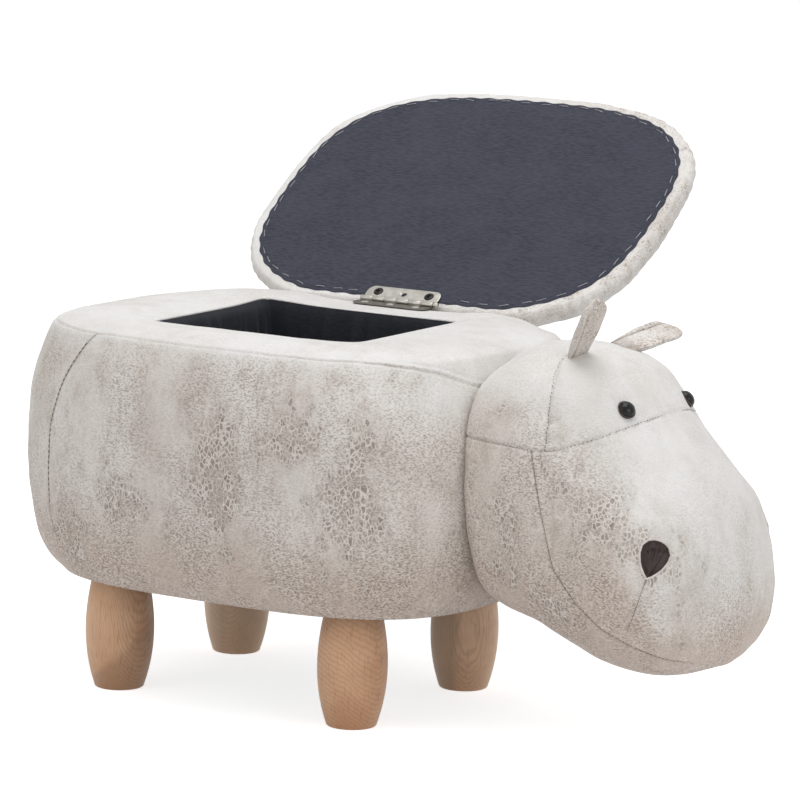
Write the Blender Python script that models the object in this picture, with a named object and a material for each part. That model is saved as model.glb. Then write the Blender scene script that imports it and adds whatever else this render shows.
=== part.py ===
"""Storage ottoman in the shape of a hippo, with its lid open.

A plywood box on four turned legs is wrapped in foam and imitation leather.  A butt hinge carries
the padded lid, and the stuffed head is bolted to the front of the frame.

Lengths are in metres.  While the pieces are made, the body's centre is at X = 0 and Y = 0, X runs
towards the head, +Y is the side with the hinge, and the floor is at Z = 0.  At the end the whole
part moves so that its origin lies under the centre of its bounding box.
"""
import math

import bmesh
import bpy
from mathutils import Matrix, Vector

# Fits
gap = 0.0003  # left between pieces that touch
cut_overrun = 0.003  # how far a cutter reaches past what it cuts

# Body, padded and covered
body_length = 0.4448
body_width = 0.3526
ground_clearance = 0.0991  # floor to the underside
side_height = 0.2124  # underside to the seam round the top panel
plan_exponent = 3.09  # squareness of the body seen from above
opening_exponent = 9.27  # squareness of the last row of faces, inside the opening
widest_share = 0.477  # height of the widest place, as a share of side_height
top_roll_share = 0.5925  # how much of its full curve the side has run at the top seam
bottom_roll_share = 0.6695  # the same at the underside
roll_exponent = 2.85
opening_edge_rise = 0.0025  # from the top seam up to the edge of the opening
crown_height = 0.0050  # swell of the top panel between seam and opening
rear_seam_share = 0.675  # where the rear panel's seam lies, as a share of the half length
rear_seam_lean_share = 0.145  # how far that seam leans in at the top
cover_thickness = 0.0012
top_row_shares = (0.0, 0.10, 0.25, 0.45, 0.70, 1.0)  # rows of faces from seam to opening

# Where the hinge flattens the top and the open lid presses the edge behind it
flat_half_length = 0.085
pressed_depth = 0.0130
pressed_half_length = 0.160
pressed_width_share = 0.25  # of the top panel, seam to opening
pressed_exponent = 6

# Storage bin
bin_length = 0.187
bin_width = 0.165
bin_corner_radius = 0.003
liner_thickness = 0.0012
liner_edge_drop = 0.0012  # below the edge of the opening

# Plywood frame
base_thickness = 0.012
base_margin = 0.0025  # base panel's edge to the cover's inside
board_thickness = 0.009
deck_thickness = 0.009
deck_foam_depth = 0.0075  # edge of the opening down to the deck
deck_margin = 0.036  # deck's edge to the body's widest outline
bulkhead_margin = 0.046  # bulkhead's outer face to the body's end
dust_cover_thickness = 0.0008

# Legs
leg_spacing_x = 0.234
leg_spacing_y = 0.1756
leg_offset_x = -0.0073  # from the body's centre
leg_max_radius = 0.029
leg_foot_radius = 0.0212
leg_top_radius = 0.0228
leg_widest_share = 0.50
leg_edge_radius = 0.0022
bolt_radius = 0.0040
bolt_play = 0.0003
bolt_depth = 0.030  # into the leg
nut_barrel_radius = 0.0056
nut_flange_radius = 0.0100
nut_flange_thickness = 0.0015

# Lid
lid_length = 0.3966
lid_width = 0.2970
lid_exponent = 3.0
lid_offset_x = -0.0003  # from the body's centre
lid_from_axis = 0.1394  # hinge axis to the lid's centre
lid_edge_thickness = 0.0245
lid_crown = 0.0060
lid_rim = 0.0095  # lining's edge to the lid's edge
lid_under_roll = 0.0045
lid_top_roll = 0.0190
lid_widest_share = 0.34
lid_rear_roll = 0.0270  # radius of the pressed edge by the hinge
lid_rear_offset = 0.0006  # that edge's foot from the hinge axis
lining_rear_margin = 0.0062  # lining's edge to that foot
lid_turn_under = 0.026  # width of the cover folded under the board
lid_board_margin = 0.012
lid_board_thickness = 0.009
lining_thickness = 0.0007
lid_open_angle = math.radians(145.0)
lid_crown_shares = (0.0, 0.30, 0.62, 0.93)  # rows of faces from edge to centre

# Hinge
hinge_from_rear = 0.0363  # axis to the body's widest outline behind it
hinge_offset_x = 0.0022  # from the body's centre
hinge_length = 0.0740
hinge_barrel_radius = 0.0027
hinge_pin_play = 0.0001
hinge_leaf_thickness = 0.0012
hinge_leaf_width = 0.0180
hinge_leaf_corner = 0.0070
hinge_knuckle_count = 6
hinge_knuckle_play = 0.0003
hinge_pin_head_length = 0.0045
hinge_pin_head_radius = 0.0027
hinge_pin_dome_share = 0.7
hinge_curl_end = math.radians(210)
screw_radius = 0.0016
screw_head_radius = 0.0034
screw_head_depth = 0.0010
screw_play = 0.0002
screw_taper_share = 0.75  # of its length, down to where the tip begins
screw_tip_share = 0.3  # of its shank's radius
screw_spacing = 0.0258
screw_from_axis = 0.0112
spare_hole_radius = 0.0022  # the lid leaf's middle hole has no screw
lid_screw_length = 0.0115
body_screw_length = 0.0160

# Head
head_start = 0.1977  # start of the head's spine from the body's centre, inside the body
head_start_height = 0.2000
head_reach = 0.2120
head_drop = 0.1260
head_half_height = 0.1170
head_half_width = 0.1100
head_exponent = 2.45
spine_reach_shares = (0.0, 0.142, 0.316, 0.482, 0.670, 0.828, 0.935, 0.990)
spine_drop_shares = (0.0, -0.140, -0.069, 0.160, 0.386, 0.695, 0.885, 0.960)
head_height_shares = (0.80, 0.912, 0.969, 0.876, 0.750, 0.528, 0.260, 0.04)
head_width_shares = (0.74, 0.877, 0.960, 0.985, 0.985, 0.910, 0.69, 0.20)
head_tilts = tuple(math.radians(angle) for angle in (0, 11.5, 28.5, 40.2, 48.1, 50.9, 50, 50))
head_row_shares = (0.0, 0.115, 0.23, 0.345, 0.46, 0.57, 0.67, 0.77, 0.86, 0.93, 0.975, 1.0)

# Seams of the head, seen from the side: X from the body's centre, and height
brow_height = 0.2493
brow_bend_x = 0.2930
brow_front_x = 0.3590
brow_front_height = 0.2790
crown_seam_x = 0.2770
crown_seam_height = 0.3140
cheek_top_x = 0.2815
cheek_x = 0.3069
cheek_height = 0.1576
chin_x = 0.3683
chin_height = 0.1036

# Neck fixing
neck_board_half_height = 0.055
neck_board_half_width = 0.050
neck_board_thickness = 0.009
neck_height = 0.200
neck_screw_radius = 0.0030
neck_screw_head_radius = 0.0065
neck_screw_head_length = 0.0035
neck_screw_dome_share = 0.8
neck_screw_half_spacing = 0.028

# Ears, eyes and nostrils, placed by a share of the spine and an angle round it from the top
ear_length = 0.0620
ear_half_width = 0.0155
ear_half_thickness = 0.0046
ear_cup = 0.0040
ear_width_shares = (0.55, 0.70, 0.86, 0.97, 1.0, 0.84, 0.52, 0.14)  # from root to tip
ear_sunk = 0.0090  # its root inside the head's outline, before it is cut to it
right_ear_spine_share = 0.2080
left_ear_spine_share = 0.2190
right_ear_angle = math.radians(17.0)
left_ear_angle = math.radians(-19.0)
right_ear_lean_shares = (0.48, -0.40, 0.75)
left_ear_lean_shares = (0.22, 0.95, 0.15)
right_ear_across_shares = (0.21, 0.93, 0.29)
left_ear_across_shares = (0.93, -0.20, -0.28)
right_eye_spine_share = 0.3520
left_eye_spine_share = 0.3600
eye_angle = math.radians(22.3)
eye_radius = 0.0074
eye_sunk = 0.0020
nostril_spine_share = 0.6060
nostril_angle = math.radians(54.0)
nostril_half_width = 0.0120
nostril_half_height = 0.0155
nostril_thickness = 0.0010
nostril_lean = math.radians(16.0)  # its top leans inwards
nostril_width_shares = (0.04, 0.36, 0.78, 1.0, 0.84, 0.30)  # from its point up

# Fineness of the faceted shapes
side_rows = 8
side_columns = 12  # from the front seam to a rear seam
rear_columns = 10
head_columns = 24
board_columns = 32
lid_columns = 40
round_steps = 16
screw_steps = 10
curl_steps = 10
corner_steps = 3
leg_rings = 7
lid_under_steps = 2
lid_roll_steps = 4
ear_steps = 12
crease_angle = math.radians(40)
surface_step_share = 0.01  # between the two points that give a normal

# Colours
OFF_WHITE = (0.80, 0.78, 0.74)
NEAR_BLACK = (0.03, 0.03, 0.035)
CHARCOAL = (0.075, 0.08, 0.10)
PLY = (0.62, 0.47, 0.30)
LEG_WOOD = (0.66, 0.46, 0.27)
FOAM = (0.86, 0.82, 0.62)
NICKEL = (0.42, 0.39, 0.34)
STEEL = (0.60, 0.60, 0.60)
BLACK = (0.015, 0.013, 0.012)
BROWN = (0.07, 0.045, 0.038)

# Places that follow from the sizes
body_half_length = body_length / 2
body_half_width = body_width / 2
top_seam_height = ground_clearance + side_height
widest_height = ground_clearance + widest_share * side_height
opening_edge_height = top_seam_height + opening_edge_rise
padding_inset = cover_thickness + gap
base_bottom = ground_clearance + dust_cover_thickness + gap
base_top = base_bottom + base_thickness
deck_top = opening_edge_height - deck_foam_depth
deck_bottom = deck_top - deck_thickness
liner_half_length = bin_length / 2 + liner_thickness
liner_half_width = bin_width / 2 + liner_thickness
liner_corner = bin_corner_radius + liner_thickness
board_inner_x = liner_half_length + gap
board_inner_y = liner_half_width + gap
board_outer_y = board_inner_y + board_thickness
bulkhead_outer = body_half_length - bulkhead_margin
bulkhead_inner = bulkhead_outer - board_thickness
hinge_y = body_half_width - hinge_from_rear
curl_radius = hinge_barrel_radius - hinge_leaf_thickness
pin_radius = curl_radius - hinge_pin_play
lining_from_axis = hinge_barrel_radius + gap
lid_under = lining_from_axis + lining_thickness + gap  # cover's underside above the axis, closed
knuckle_length = hinge_length / hinge_knuckle_count


# Small helpers

def material(name, color, roughness, metallic=0.0):
    """One Principled material."""
    made = bpy.data.materials.new(name)
    made.use_nodes = True
    shader = made.node_tree.nodes["Principled BSDF"]
    shader.inputs["Base Color"].default_value = (*color, 1.0)
    shader.inputs["Roughness"].default_value = roughness
    shader.inputs["Metallic"].default_value = metallic
    made.diffuse_color = (*color, 1.0)
    return made


def add_object(name, mesh, finish=None, parent=None, smooth=True):
    """Put a mesh into the scene as one named object."""
    made = bpy.data.objects.new(name, mesh)
    bpy.context.scene.collection.objects.link(made)
    if finish is not None:
        mesh.materials.append(finish)
    if smooth:
        mesh.shade_smooth()
        mesh.set_sharp_from_angle(angle=crease_angle)
    made.parent = parent
    return made


def finish_mesh(name, bm):
    """Turn a bmesh into a mesh whose faces point out."""
    bmesh.ops.recalc_face_normals(bm, faces=bm.faces)
    mesh = bpy.data.meshes.new(name)
    bm.to_mesh(mesh)
    bm.free()
    return mesh


def lerp(start, end, share):
    return start + (end - start) * share


def smooth_table(values, position):
    """Value of a table between its entries, on a smooth curve through them."""
    last = len(values) - 1
    index = min(int(position), last - 1)
    share = position - index
    before = values[max(index - 1, 0)]
    start = values[index]
    end = values[index + 1]
    after = values[min(index + 2, last)]
    slope_start = (end - before) / 2
    slope_end = (after - start) / 2
    return (start * (2 * share ** 3 - 3 * share ** 2 + 1)
            + slope_start * (share ** 3 - 2 * share ** 2 + share)
            + end * (3 * share ** 2 - 2 * share ** 3)
            + slope_end * (share ** 3 - share ** 2))


def superellipse(half_x, half_y, exponent, angle):
    """Point of a rounded outline round the origin."""
    across = math.cos(angle)
    along = math.sin(angle)
    return (math.copysign(abs(across) ** (2 / exponent), across) * half_x,
            math.copysign(abs(along) ** (2 / exponent), along) * half_y)


def rounded_rectangle(half_x, half_y, radius):
    """Outline of a rectangle with round corners."""
    outline = []
    for quarter, (sign_x, sign_y) in enumerate(((1, 1), (-1, 1), (-1, -1), (1, -1))):
        for step in range(corner_steps + 1):
            angle = math.pi / 2 * (quarter + step / corner_steps)
            outline.append((sign_x * (half_x - radius) + radius * math.cos(angle),
                            sign_y * (half_y - radius) + radius * math.sin(angle)))
    return outline


# Surfaces as rows of points

def row_normals(rows, wrap):
    """Outward normal at every point of a grid, from its neighbours."""
    normals = []
    for r, row in enumerate(rows):
        below = rows[max(r - 1, 0)]
        above = rows[min(r + 1, len(rows) - 1)]
        line = []
        for c in range(len(row)):
            after = (c + 1) % len(row) if wrap else min(c + 1, len(row) - 1)
            before = (c - 1) % len(row) if wrap else max(c - 1, 0)
            along = row[after] - row[before]
            up = above[c] - below[c]
            line.append(along.cross(up).normalized())
        normals.append(line)
    return normals


def moved_in(rows, normals, depth):
    """The same grid, moved against its normals."""
    return [[point - normal * depth for point, normal in zip(row, line)]
            for row, line in zip(rows, normals)]


def pulled(line, neighbour, distance):
    """A border line of a grid, moved towards the line beside it."""
    return [point + (other - point).normalized() * distance
            for point, other in zip(line, neighbour)]


def pull_rows(rows, first, last):
    """Draw the first or last row in by half a gap, to part it from the next panel."""
    rows = [list(row) for row in rows]
    if first:
        rows[0] = pulled(rows[0], rows[1], gap / 2)
    if last:
        rows[-1] = pulled(rows[-1], rows[-2], gap / 2)
    return rows


def pull_columns(rows):
    """Draw the first and last column in by half a gap."""
    turned = [list(column) for column in zip(*rows)]
    turned = pull_rows(turned, True, True)
    return [list(row) for row in zip(*turned)]


def add_rows(bm, rows):
    return [[bm.verts.new(point) for point in row] for row in rows]


def skin(bm, rows, wrap):
    """Pairs of triangles between rows of vertices, split alike on every layer of a sheet."""
    for lower, upper in zip(rows, rows[1:]):
        count = len(lower) if wrap else len(lower) - 1
        for c in range(count):
            d = (c + 1) % len(lower)
            bm.faces.new((lower[c], lower[d], upper[d]))
            bm.faces.new((lower[c], upper[d], upper[c]))


def shell_mesh(name, outer, inner, wrap, closed_end=False):
    """A sheet of some thickness between two grids."""
    bm = bmesh.new()
    outside = add_rows(bm, outer)
    inside = add_rows(bm, inner)
    skin(bm, outside, wrap)
    skin(bm, inside, wrap)
    skin(bm, [outside[0], inside[0]], wrap)
    if closed_end:
        bm.faces.new(outside[-1])
        bm.faces.new(inside[-1])
    else:
        skin(bm, [outside[-1], inside[-1]], wrap)
    if not wrap:
        for column in (0, -1):
            skin(bm, [[row[column] for row in outside], [row[column] for row in inside]], False)
    return finish_mesh(name, bm)


def loft_mesh(name, rows):
    """A solid through closed rows, capped at both ends."""
    bm = bmesh.new()
    lines = add_rows(bm, rows)
    skin(bm, lines, True)
    bm.faces.new(lines[0])
    bm.faces.new(lines[-1])
    return finish_mesh(name, bm)


def plate_mesh(name, outline, bottom, top):
    """A flat outline given a thickness along Z."""
    return loft_mesh(name, [[Vector((x, y, z)) for x, y in outline] for z in (bottom, top)])


def box_mesh(name, low, high):
    outline = [(low[0], low[1]), (high[0], low[1]), (high[0], high[1]), (low[0], high[1])]
    return plate_mesh(name, outline, low[2], high[2])


def turned_bmesh(bm, profile, place=Matrix.Identity(4), steps=round_steps):
    """Add a profile of radius and height, turned about Z; it starts and ends on the axis."""
    rows = []
    for radius, height in profile[1:-1]:
        ring = []
        for step in range(steps):
            angle = 2 * math.pi * step / steps
            ring.append(bm.verts.new(place @ Vector((radius * math.cos(angle),
                                                     radius * math.sin(angle), height))))
        rows.append(ring)
    skin(bm, rows, True)
    for ring, (_, height) in ((rows[0], profile[0]), (rows[-1], profile[-1])):
        tip = bm.verts.new(place @ Vector((0, 0, height)))
        for step in range(steps):
            bm.faces.new((ring[step], ring[(step + 1) % steps], tip))


def turned_mesh(name, profile, places=(Matrix.Identity(4),), steps=round_steps):
    """A turned solid, or equal ones at several places."""
    bm = bmesh.new()
    for place in places:
        turned_bmesh(bm, profile, place, steps)
    return finish_mesh(name, bm)


def cut(piece, cutter, operation="DIFFERENCE"):
    """Cut a piece with another object."""
    modifier = piece.modifiers.new("cut_" + cutter.name, "BOOLEAN")
    modifier.operation = operation
    modifier.solver = "EXACT"
    modifier.object = cutter


def add_cutter(name, mesh, parent):
    """A shape that only cuts others."""
    cutter = add_object(name, mesh, parent=parent, smooth=False)
    cutter.hide_render = True
    cutter.display_type = "WIRE"
    return cutter


# The body's outer surface

def drawn_in(height):
    """How far the body's outline has drawn in from its widest at a height."""
    if height > widest_height:
        roll = top_roll_share * (height - widest_height) / (top_seam_height - widest_height)
    else:
        roll = bottom_roll_share * (widest_height - height) / (widest_height - ground_clearance)
    return body_half_length * (1 - (1 - roll ** roll_exponent) ** (1 / roll_exponent))


def side_heights():
    """Heights of the rows of faces on the body's side, closest where it curves most."""
    return [ground_clearance + side_height * (1 - math.cos(math.pi * row / side_rows)) / 2
            for row in range(side_rows + 1)]


def column_angles(height):
    """Angles round the body, with a column on the front seam and on each rear seam."""
    rise = max(0.0, (height - widest_height) / (top_seam_height - widest_height))
    share = rear_seam_share - rear_seam_lean_share * rise ** 2
    from_rear = math.acos(share ** (plan_exponent / 2))
    left = math.pi - from_rear
    right = math.pi + from_rear
    angles = [left * step / side_columns for step in range(side_columns)]
    angles += [lerp(left, right, step / rear_columns) for step in range(rear_columns)]
    angles += [lerp(right, 2 * math.pi, step / side_columns) for step in range(side_columns)]
    return angles


def near_hinge(x, y, half_length):
    """1 behind the opening where the hinge is, fading to 0 along the body."""
    if y <= 0:
        return 0.0
    return math.exp(-abs((x - hinge_offset_x) / half_length) ** pressed_exponent)


def top_height(share, x, y):
    """Height of the top panel at a share of the way from its seam to the opening."""
    crown = crown_height * 4 * share * (1 - share) * (1 - near_hinge(x, y, flat_half_length))
    pressed = pressed_depth * near_hinge(x, y, pressed_half_length)
    pressed *= max(0.0, 1 - share / pressed_width_share)
    return top_seam_height + opening_edge_rise * share + crown - pressed


def body_rows():
    """The covered body's surface: rows up the side, then in over the top to the opening."""
    rows = []
    for height in side_heights()[:-1]:
        inset = drawn_in(height)
        rise = max(0.0, (height - widest_height) / (top_seam_height - widest_height))
        row = []
        for angle in column_angles(height):
            x, y = superellipse(body_half_length - inset, body_half_width - inset,
                                plan_exponent, angle)
            pressed = pressed_depth * near_hinge(x, y, pressed_half_length) * rise ** 3
            row.append(Vector((x, y, height - pressed)))
        rows.append(row)
    inset = drawn_in(top_seam_height)
    edge_x = bin_length / 2 - cut_overrun
    edge_y = bin_width / 2 - cut_overrun
    for share in top_row_shares:
        row = []
        for angle in column_angles(top_seam_height):
            seam = superellipse(body_half_length - inset, body_half_width - inset,
                                plan_exponent, angle)
            edge = superellipse(edge_x, edge_y, opening_exponent, angle)
            x = lerp(seam[0], edge[0], share)
            y = lerp(seam[1], edge[1], share)
            row.append(Vector((x, y, top_height(share, x, y))))
        rows.append(row)
    return rows


# The head's outer surface

def head_point(share, angle):
    """Point of the head at a share of its spine and an angle round it, from the top to the right."""
    at = (len(spine_reach_shares) - 1) * share
    tilt = smooth_table(head_tilts, at)
    half_height = head_half_height * smooth_table(head_height_shares, at)
    half_width = head_half_width * smooth_table(head_width_shares, at)
    rise, side = superellipse(half_height, half_width, head_exponent, angle)
    return Vector((head_start + head_reach * smooth_table(spine_reach_shares, at)
                   + rise * math.sin(tilt),
                   -side,
                   head_start_height - head_drop * smooth_table(spine_drop_shares, at)
                   + rise * math.cos(tilt)))


def head_place(share, angle):
    """Point of the head and its outward normal there."""
    near = surface_step_share
    along = head_point(share + near, angle) - head_point(share - near, angle)
    around = head_point(share, angle + near) - head_point(share, angle - near)
    return head_point(share, angle), around.cross(along).normalized()


def head_rows():
    """The covered head's surface: rings along its spine, from inside the body to the muzzle."""
    return [[head_point(share, 2 * math.pi * column / head_columns)
             for column in range(head_columns)] for share in head_row_shares]


# The lid's outer surface, closed, in the hinge axis's own frame: -Y is away from the hinge

def lid_profile():
    """Inset from the lid's outline and height over its underside, from below to the crown."""
    widest = lid_widest_share * lid_edge_thickness
    profile = [(lid_under_roll + lid_turn_under, 0.0)]
    for step in range(lid_under_steps + 1):
        angle = math.pi / 2 * step / lid_under_steps
        profile.append((lid_under_roll * (1 - math.sin(angle)), widest * (1 - math.cos(angle))))
    for step in range(1, lid_roll_steps + 1):
        angle = math.pi / 2 * step / lid_roll_steps
        profile.append((lid_top_roll * (1 - math.cos(angle)),
                        widest + (lid_edge_thickness - widest) * math.sin(angle)))
    reach = lid_width / 2 - lid_top_roll
    for share in lid_crown_shares[1:]:
        profile.append((lid_top_roll + reach * share,
                        lid_edge_thickness + lid_crown * (1 - (1 - share) ** 2)))
    return profile


def lid_outline(inset, height=0.0, rear_margin=0.0):
    """The lid's outline drawn in by an inset, pressed straight beside the hinge."""
    roll = lid_rear_roll - math.sqrt(max(lid_rear_roll ** 2 - height ** 2, 0.0))
    nearest = lid_rear_offset + roll + rear_margin
    outline = []
    for column in range(lid_columns):
        angle = 2 * math.pi * column / lid_columns
        x, y = superellipse(lid_length / 2 - inset, lid_width / 2 - inset, lid_exponent, angle)
        outline.append((x + lid_offset_x - hinge_offset_x, -max(lid_from_axis - y, nearest)))
    return outline


def lid_rows():
    rows = []
    widest = lid_widest_share * lid_edge_thickness
    for inset, height in lid_profile():
        rolled = min(inset, lid_under_roll) if height < widest else 0.0
        outline = lid_outline(inset, height, rolled)
        rows.append([Vector((x, y, lid_under + height)) for x, y in outline])
    return rows


# Frame, legs and bin

def body_outline(margin):
    """Outline that keeps a margin from the body's widest outline."""
    return [superellipse(body_half_length - margin, body_half_width - margin, plan_exponent,
                         2 * math.pi * column / board_columns) for column in range(board_columns)]


def leg_places():
    """Each leg's name and the place of its axis."""
    for end, x in (("front", leg_spacing_x / 2), ("rear", -leg_spacing_x / 2)):
        for side, y in (("right", -leg_spacing_y / 2), ("left", leg_spacing_y / 2)):
            yield end + "_" + side, Vector((leg_offset_x + x, y, 0))


def leg_profile():
    """Turned outline of a leg with a blind bore for its bolt."""
    top = ground_clearance - gap
    profile = [(0, 0), (leg_foot_radius - leg_edge_radius, 0)]
    for ring in range(leg_rings + 1):
        share = ring / leg_rings
        ends = lerp(leg_foot_radius, leg_top_radius, share)
        if share < leg_widest_share:
            swell = 1 - (1 - share / leg_widest_share) ** 2
        else:
            swell = 1 - ((share - leg_widest_share) / (1 - leg_widest_share)) ** 2
        profile.append((lerp(ends, leg_max_radius, swell), lerp(leg_edge_radius, top, share)))
    bore = bolt_radius + bolt_play
    profile += [(bore, top), (bore, top - bolt_depth), (0, top - bolt_depth)]
    return profile


def make_legs(parent, wood, steel):
    mesh = turned_mesh("leg", leg_profile())
    mesh.materials.append(wood)
    for name, place in leg_places():
        leg = add_object("leg_" + name, mesh, parent=parent)
        leg.location = place
    low = ground_clearance - bolt_depth
    high = base_top - gap
    bolt = turned_mesh("leg_bolt", [(0, low), (bolt_radius, low), (bolt_radius, high), (0, high)],
                       steps=screw_steps)
    nut = nut_mesh()
    for mesh in (bolt, nut):
        mesh.materials.append(steel)
    for name, place in leg_places():
        add_object("leg_bolt_" + name, bolt, parent=parent).location = place
        add_object("tee_nut_" + name, nut, parent=parent).location = place


def nut_mesh():
    """A tee nut: a flange let into the base panel and a barrel below it, round a bore."""
    bore = bolt_radius + bolt_play
    bottom = base_bottom + gap
    top = base_top - gap
    step_height = top - nut_flange_thickness
    section = [(bore, bottom), (nut_barrel_radius, bottom), (nut_barrel_radius, step_height),
               (nut_flange_radius, step_height), (nut_flange_radius, top), (bore, top)]
    bm = bmesh.new()
    rings = []
    for radius, height in section:
        angles = [2 * math.pi * step / round_steps for step in range(round_steps)]
        rings.append([bm.verts.new((radius * math.cos(angle), radius * math.sin(angle), height))
                      for angle in angles])
    skin(bm, rings + rings[:1], True)
    return finish_mesh("tee_nut", bm)


def leg_hole_cutter(parent):
    """Stepped holes for the bolts and tee nuts."""
    wide = nut_barrel_radius + gap
    step_height = base_top - gap - nut_flange_thickness - gap
    profile = [(0, ground_clearance - cut_overrun), (wide, ground_clearance - cut_overrun),
               (wide, step_height), (nut_flange_radius + gap, step_height),
               (nut_flange_radius + gap, base_top + cut_overrun), (0, base_top + cut_overrun)]
    places = [Matrix.Translation(place) for _, place in leg_places()]
    return add_cutter("leg_hole_cutter", turned_mesh("leg_hole_cutter", profile, places), parent)


def make_frame(parent, ply, black):
    """Base panel, bin walls, bulkheads and deck, all of plywood, and the dust cover."""
    holes = leg_hole_cutter(parent)
    margin = drawn_in(ground_clearance) + cover_thickness + base_margin
    base = add_object("base_panel",
                      plate_mesh("base_panel", body_outline(margin), base_bottom, base_top),
                      ply, parent, smooth=False)
    cut(base, holes)
    dust = add_object("dust_cover",
                      plate_mesh("dust_cover", body_outline(margin), ground_clearance,
                                 ground_clearance + dust_cover_thickness),
                      black, parent, smooth=False)
    cut(dust, holes)

    low = base_top + gap
    high = deck_bottom - gap
    for side, sign in (("right", -1), ("left", 1)):
        near, far = sorted((sign * board_inner_y, sign * board_outer_y))
        mesh = box_mesh("side_board_" + side, (-bulkhead_inner + gap, near, low),
                        (bulkhead_inner - gap, far, high))
        add_object("side_board_" + side, mesh, ply, parent, smooth=False)
    inside = board_inner_y - gap
    for end, sign in (("front", 1), ("rear", -1)):
        near, far = sorted((sign * board_inner_x, sign * (board_inner_x + board_thickness)))
        mesh = box_mesh("bin_wall_" + end, (near, -inside, low), (far, inside, high))
        add_object("bin_wall_" + end, mesh, ply, parent, smooth=False)
        near, far = sorted((sign * bulkhead_inner, sign * bulkhead_outer))
        mesh = box_mesh("bulkhead_" + end, (near, -board_outer_y, low), (far, board_outer_y, high))
        add_object("bulkhead_" + end, mesh, ply, parent, smooth=False)

    deck = add_object("top_deck",
                      plate_mesh("top_deck", body_outline(deck_margin), deck_bottom, deck_top),
                      ply, parent, smooth=False)
    opening = rounded_rectangle(board_inner_x, board_inner_y, liner_corner + gap)
    opening_cutter = add_cutter("opening_cutter",
                                plate_mesh("opening_cutter", opening, high - cut_overrun,
                                           opening_edge_height + 2 * cut_overrun), parent)
    cut(deck, opening_cutter)
    return deck, opening_cutter


def make_liner(parent, black):
    """A fabric bag that lines the bin."""
    bottom = base_top + gap
    top = opening_edge_height - liner_edge_drop
    outer = rounded_rectangle(liner_half_length, liner_half_width, liner_corner)
    inner = rounded_rectangle(bin_length / 2, bin_width / 2, bin_corner_radius)
    bm = bmesh.new()
    outside = add_rows(bm, [[Vector((x, y, z)) for x, y in outer] for z in (bottom, top)])
    inside = add_rows(bm, [[Vector((x, y, z)) for x, y in inner]
                           for z in (bottom + liner_thickness, top)])
    skin(bm, outside, True)
    skin(bm, inside, True)
    skin(bm, [outside[1], inside[1]], True)
    bm.faces.new(outside[0])
    bm.faces.new(inside[0])
    add_object("bin_liner", finish_mesh("bin_liner", bm), black, parent, smooth=False)


# Padding and cover of the body

def make_padding(parent, foam, rows, normals, deck, opening_cutter):
    """Foam slabs round the frame and a pad over the deck."""
    inner = moved_in(rows, normals, padding_inset)
    core = loft_mesh("padding", inner)
    core.materials.append(foam)
    reach = body_length
    low = base_top + gap
    high = deck_bottom - gap
    slabs = {
        "front": ((bulkhead_outer + gap, -reach, low), (reach, reach, high)),
        "rear": ((-reach, -reach, low), (-bulkhead_outer - gap, reach, high)),
        "side_right": ((-bulkhead_outer, -reach, low), (bulkhead_outer, -board_outer_y - gap, high)),
        "side_left": ((-bulkhead_outer, board_outer_y + gap, low), (bulkhead_outer, reach, high)),
    }
    pads = {}
    for name, (near, far) in slabs.items():
        pad = add_object("padding_" + name, core.copy(), parent=parent)
        cutter = add_cutter("slab_" + name, box_mesh("slab_" + name, near, far), parent)
        cut(pad, cutter, "INTERSECT")
        pads[name] = pad
    top = add_object("padding_top", core.copy(), parent=parent)
    region = box_mesh("slab_top", (-reach, -reach, deck_bottom), (reach, reach, 2 * reach))
    cut(top, add_cutter("slab_top", region, parent), "INTERSECT")
    room = plate_mesh("deck_room", body_outline(deck_margin - gap),
                      deck_bottom - cut_overrun, deck_top + gap)
    cut(top, add_cutter("deck_room", room, parent))
    cut(top, opening_cutter)
    pads["top"] = top
    return pads


def make_cover(parent, leather, rows, normals, opening_cutter):
    """The sewn panels: two sides, the rear and the top."""
    inner = moved_in(rows, normals, cover_thickness)
    seam = side_rows
    left_seam = side_columns
    right_seam = side_columns + rear_columns
    panels = {}
    spans = {"side_left": (0, left_seam), "rear": (left_seam, right_seam),
             "side_right": (right_seam, len(rows[0]))}
    for name, (first, last) in spans.items():
        columns = [column % len(rows[0]) for column in range(first, last + 1)]
        sheets = []
        for grid in (rows, inner):
            patch = [[row[column] for column in columns] for row in grid[:seam + 1]]
            sheets.append(pull_columns(pull_rows(patch, False, True)))
        mesh = shell_mesh("cover_" + name, sheets[0], sheets[1], False)
        panels[name] = add_object("cover_" + name, mesh, leather, parent)
    sheets = [pull_rows(grid[seam:], True, False) for grid in (rows, inner)]
    top = add_object("cover_top", shell_mesh("cover_top", sheets[0], sheets[1], True),
                     leather, parent)
    cut(top, opening_cutter)
    panels["top"] = top
    return panels


# Head

def drawn_outline(outline, distance):
    """A closed outline, counter-clockwise, with every edge moved inwards by a distance."""
    moved = []
    for before, point, after in zip(outline[-1:] + outline[:-1], outline, outline[1:] + outline[:1]):
        into = (Vector(point) - Vector(before)).normalized()
        out = (Vector(after) - Vector(point)).normalized()
        inward = Vector((-into.y - out.y, into.x + out.x)).normalized()
        moved.append(Vector(point) + inward * distance / max(inward.dot((-out.y, out.x)), gap))
    return moved


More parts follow.
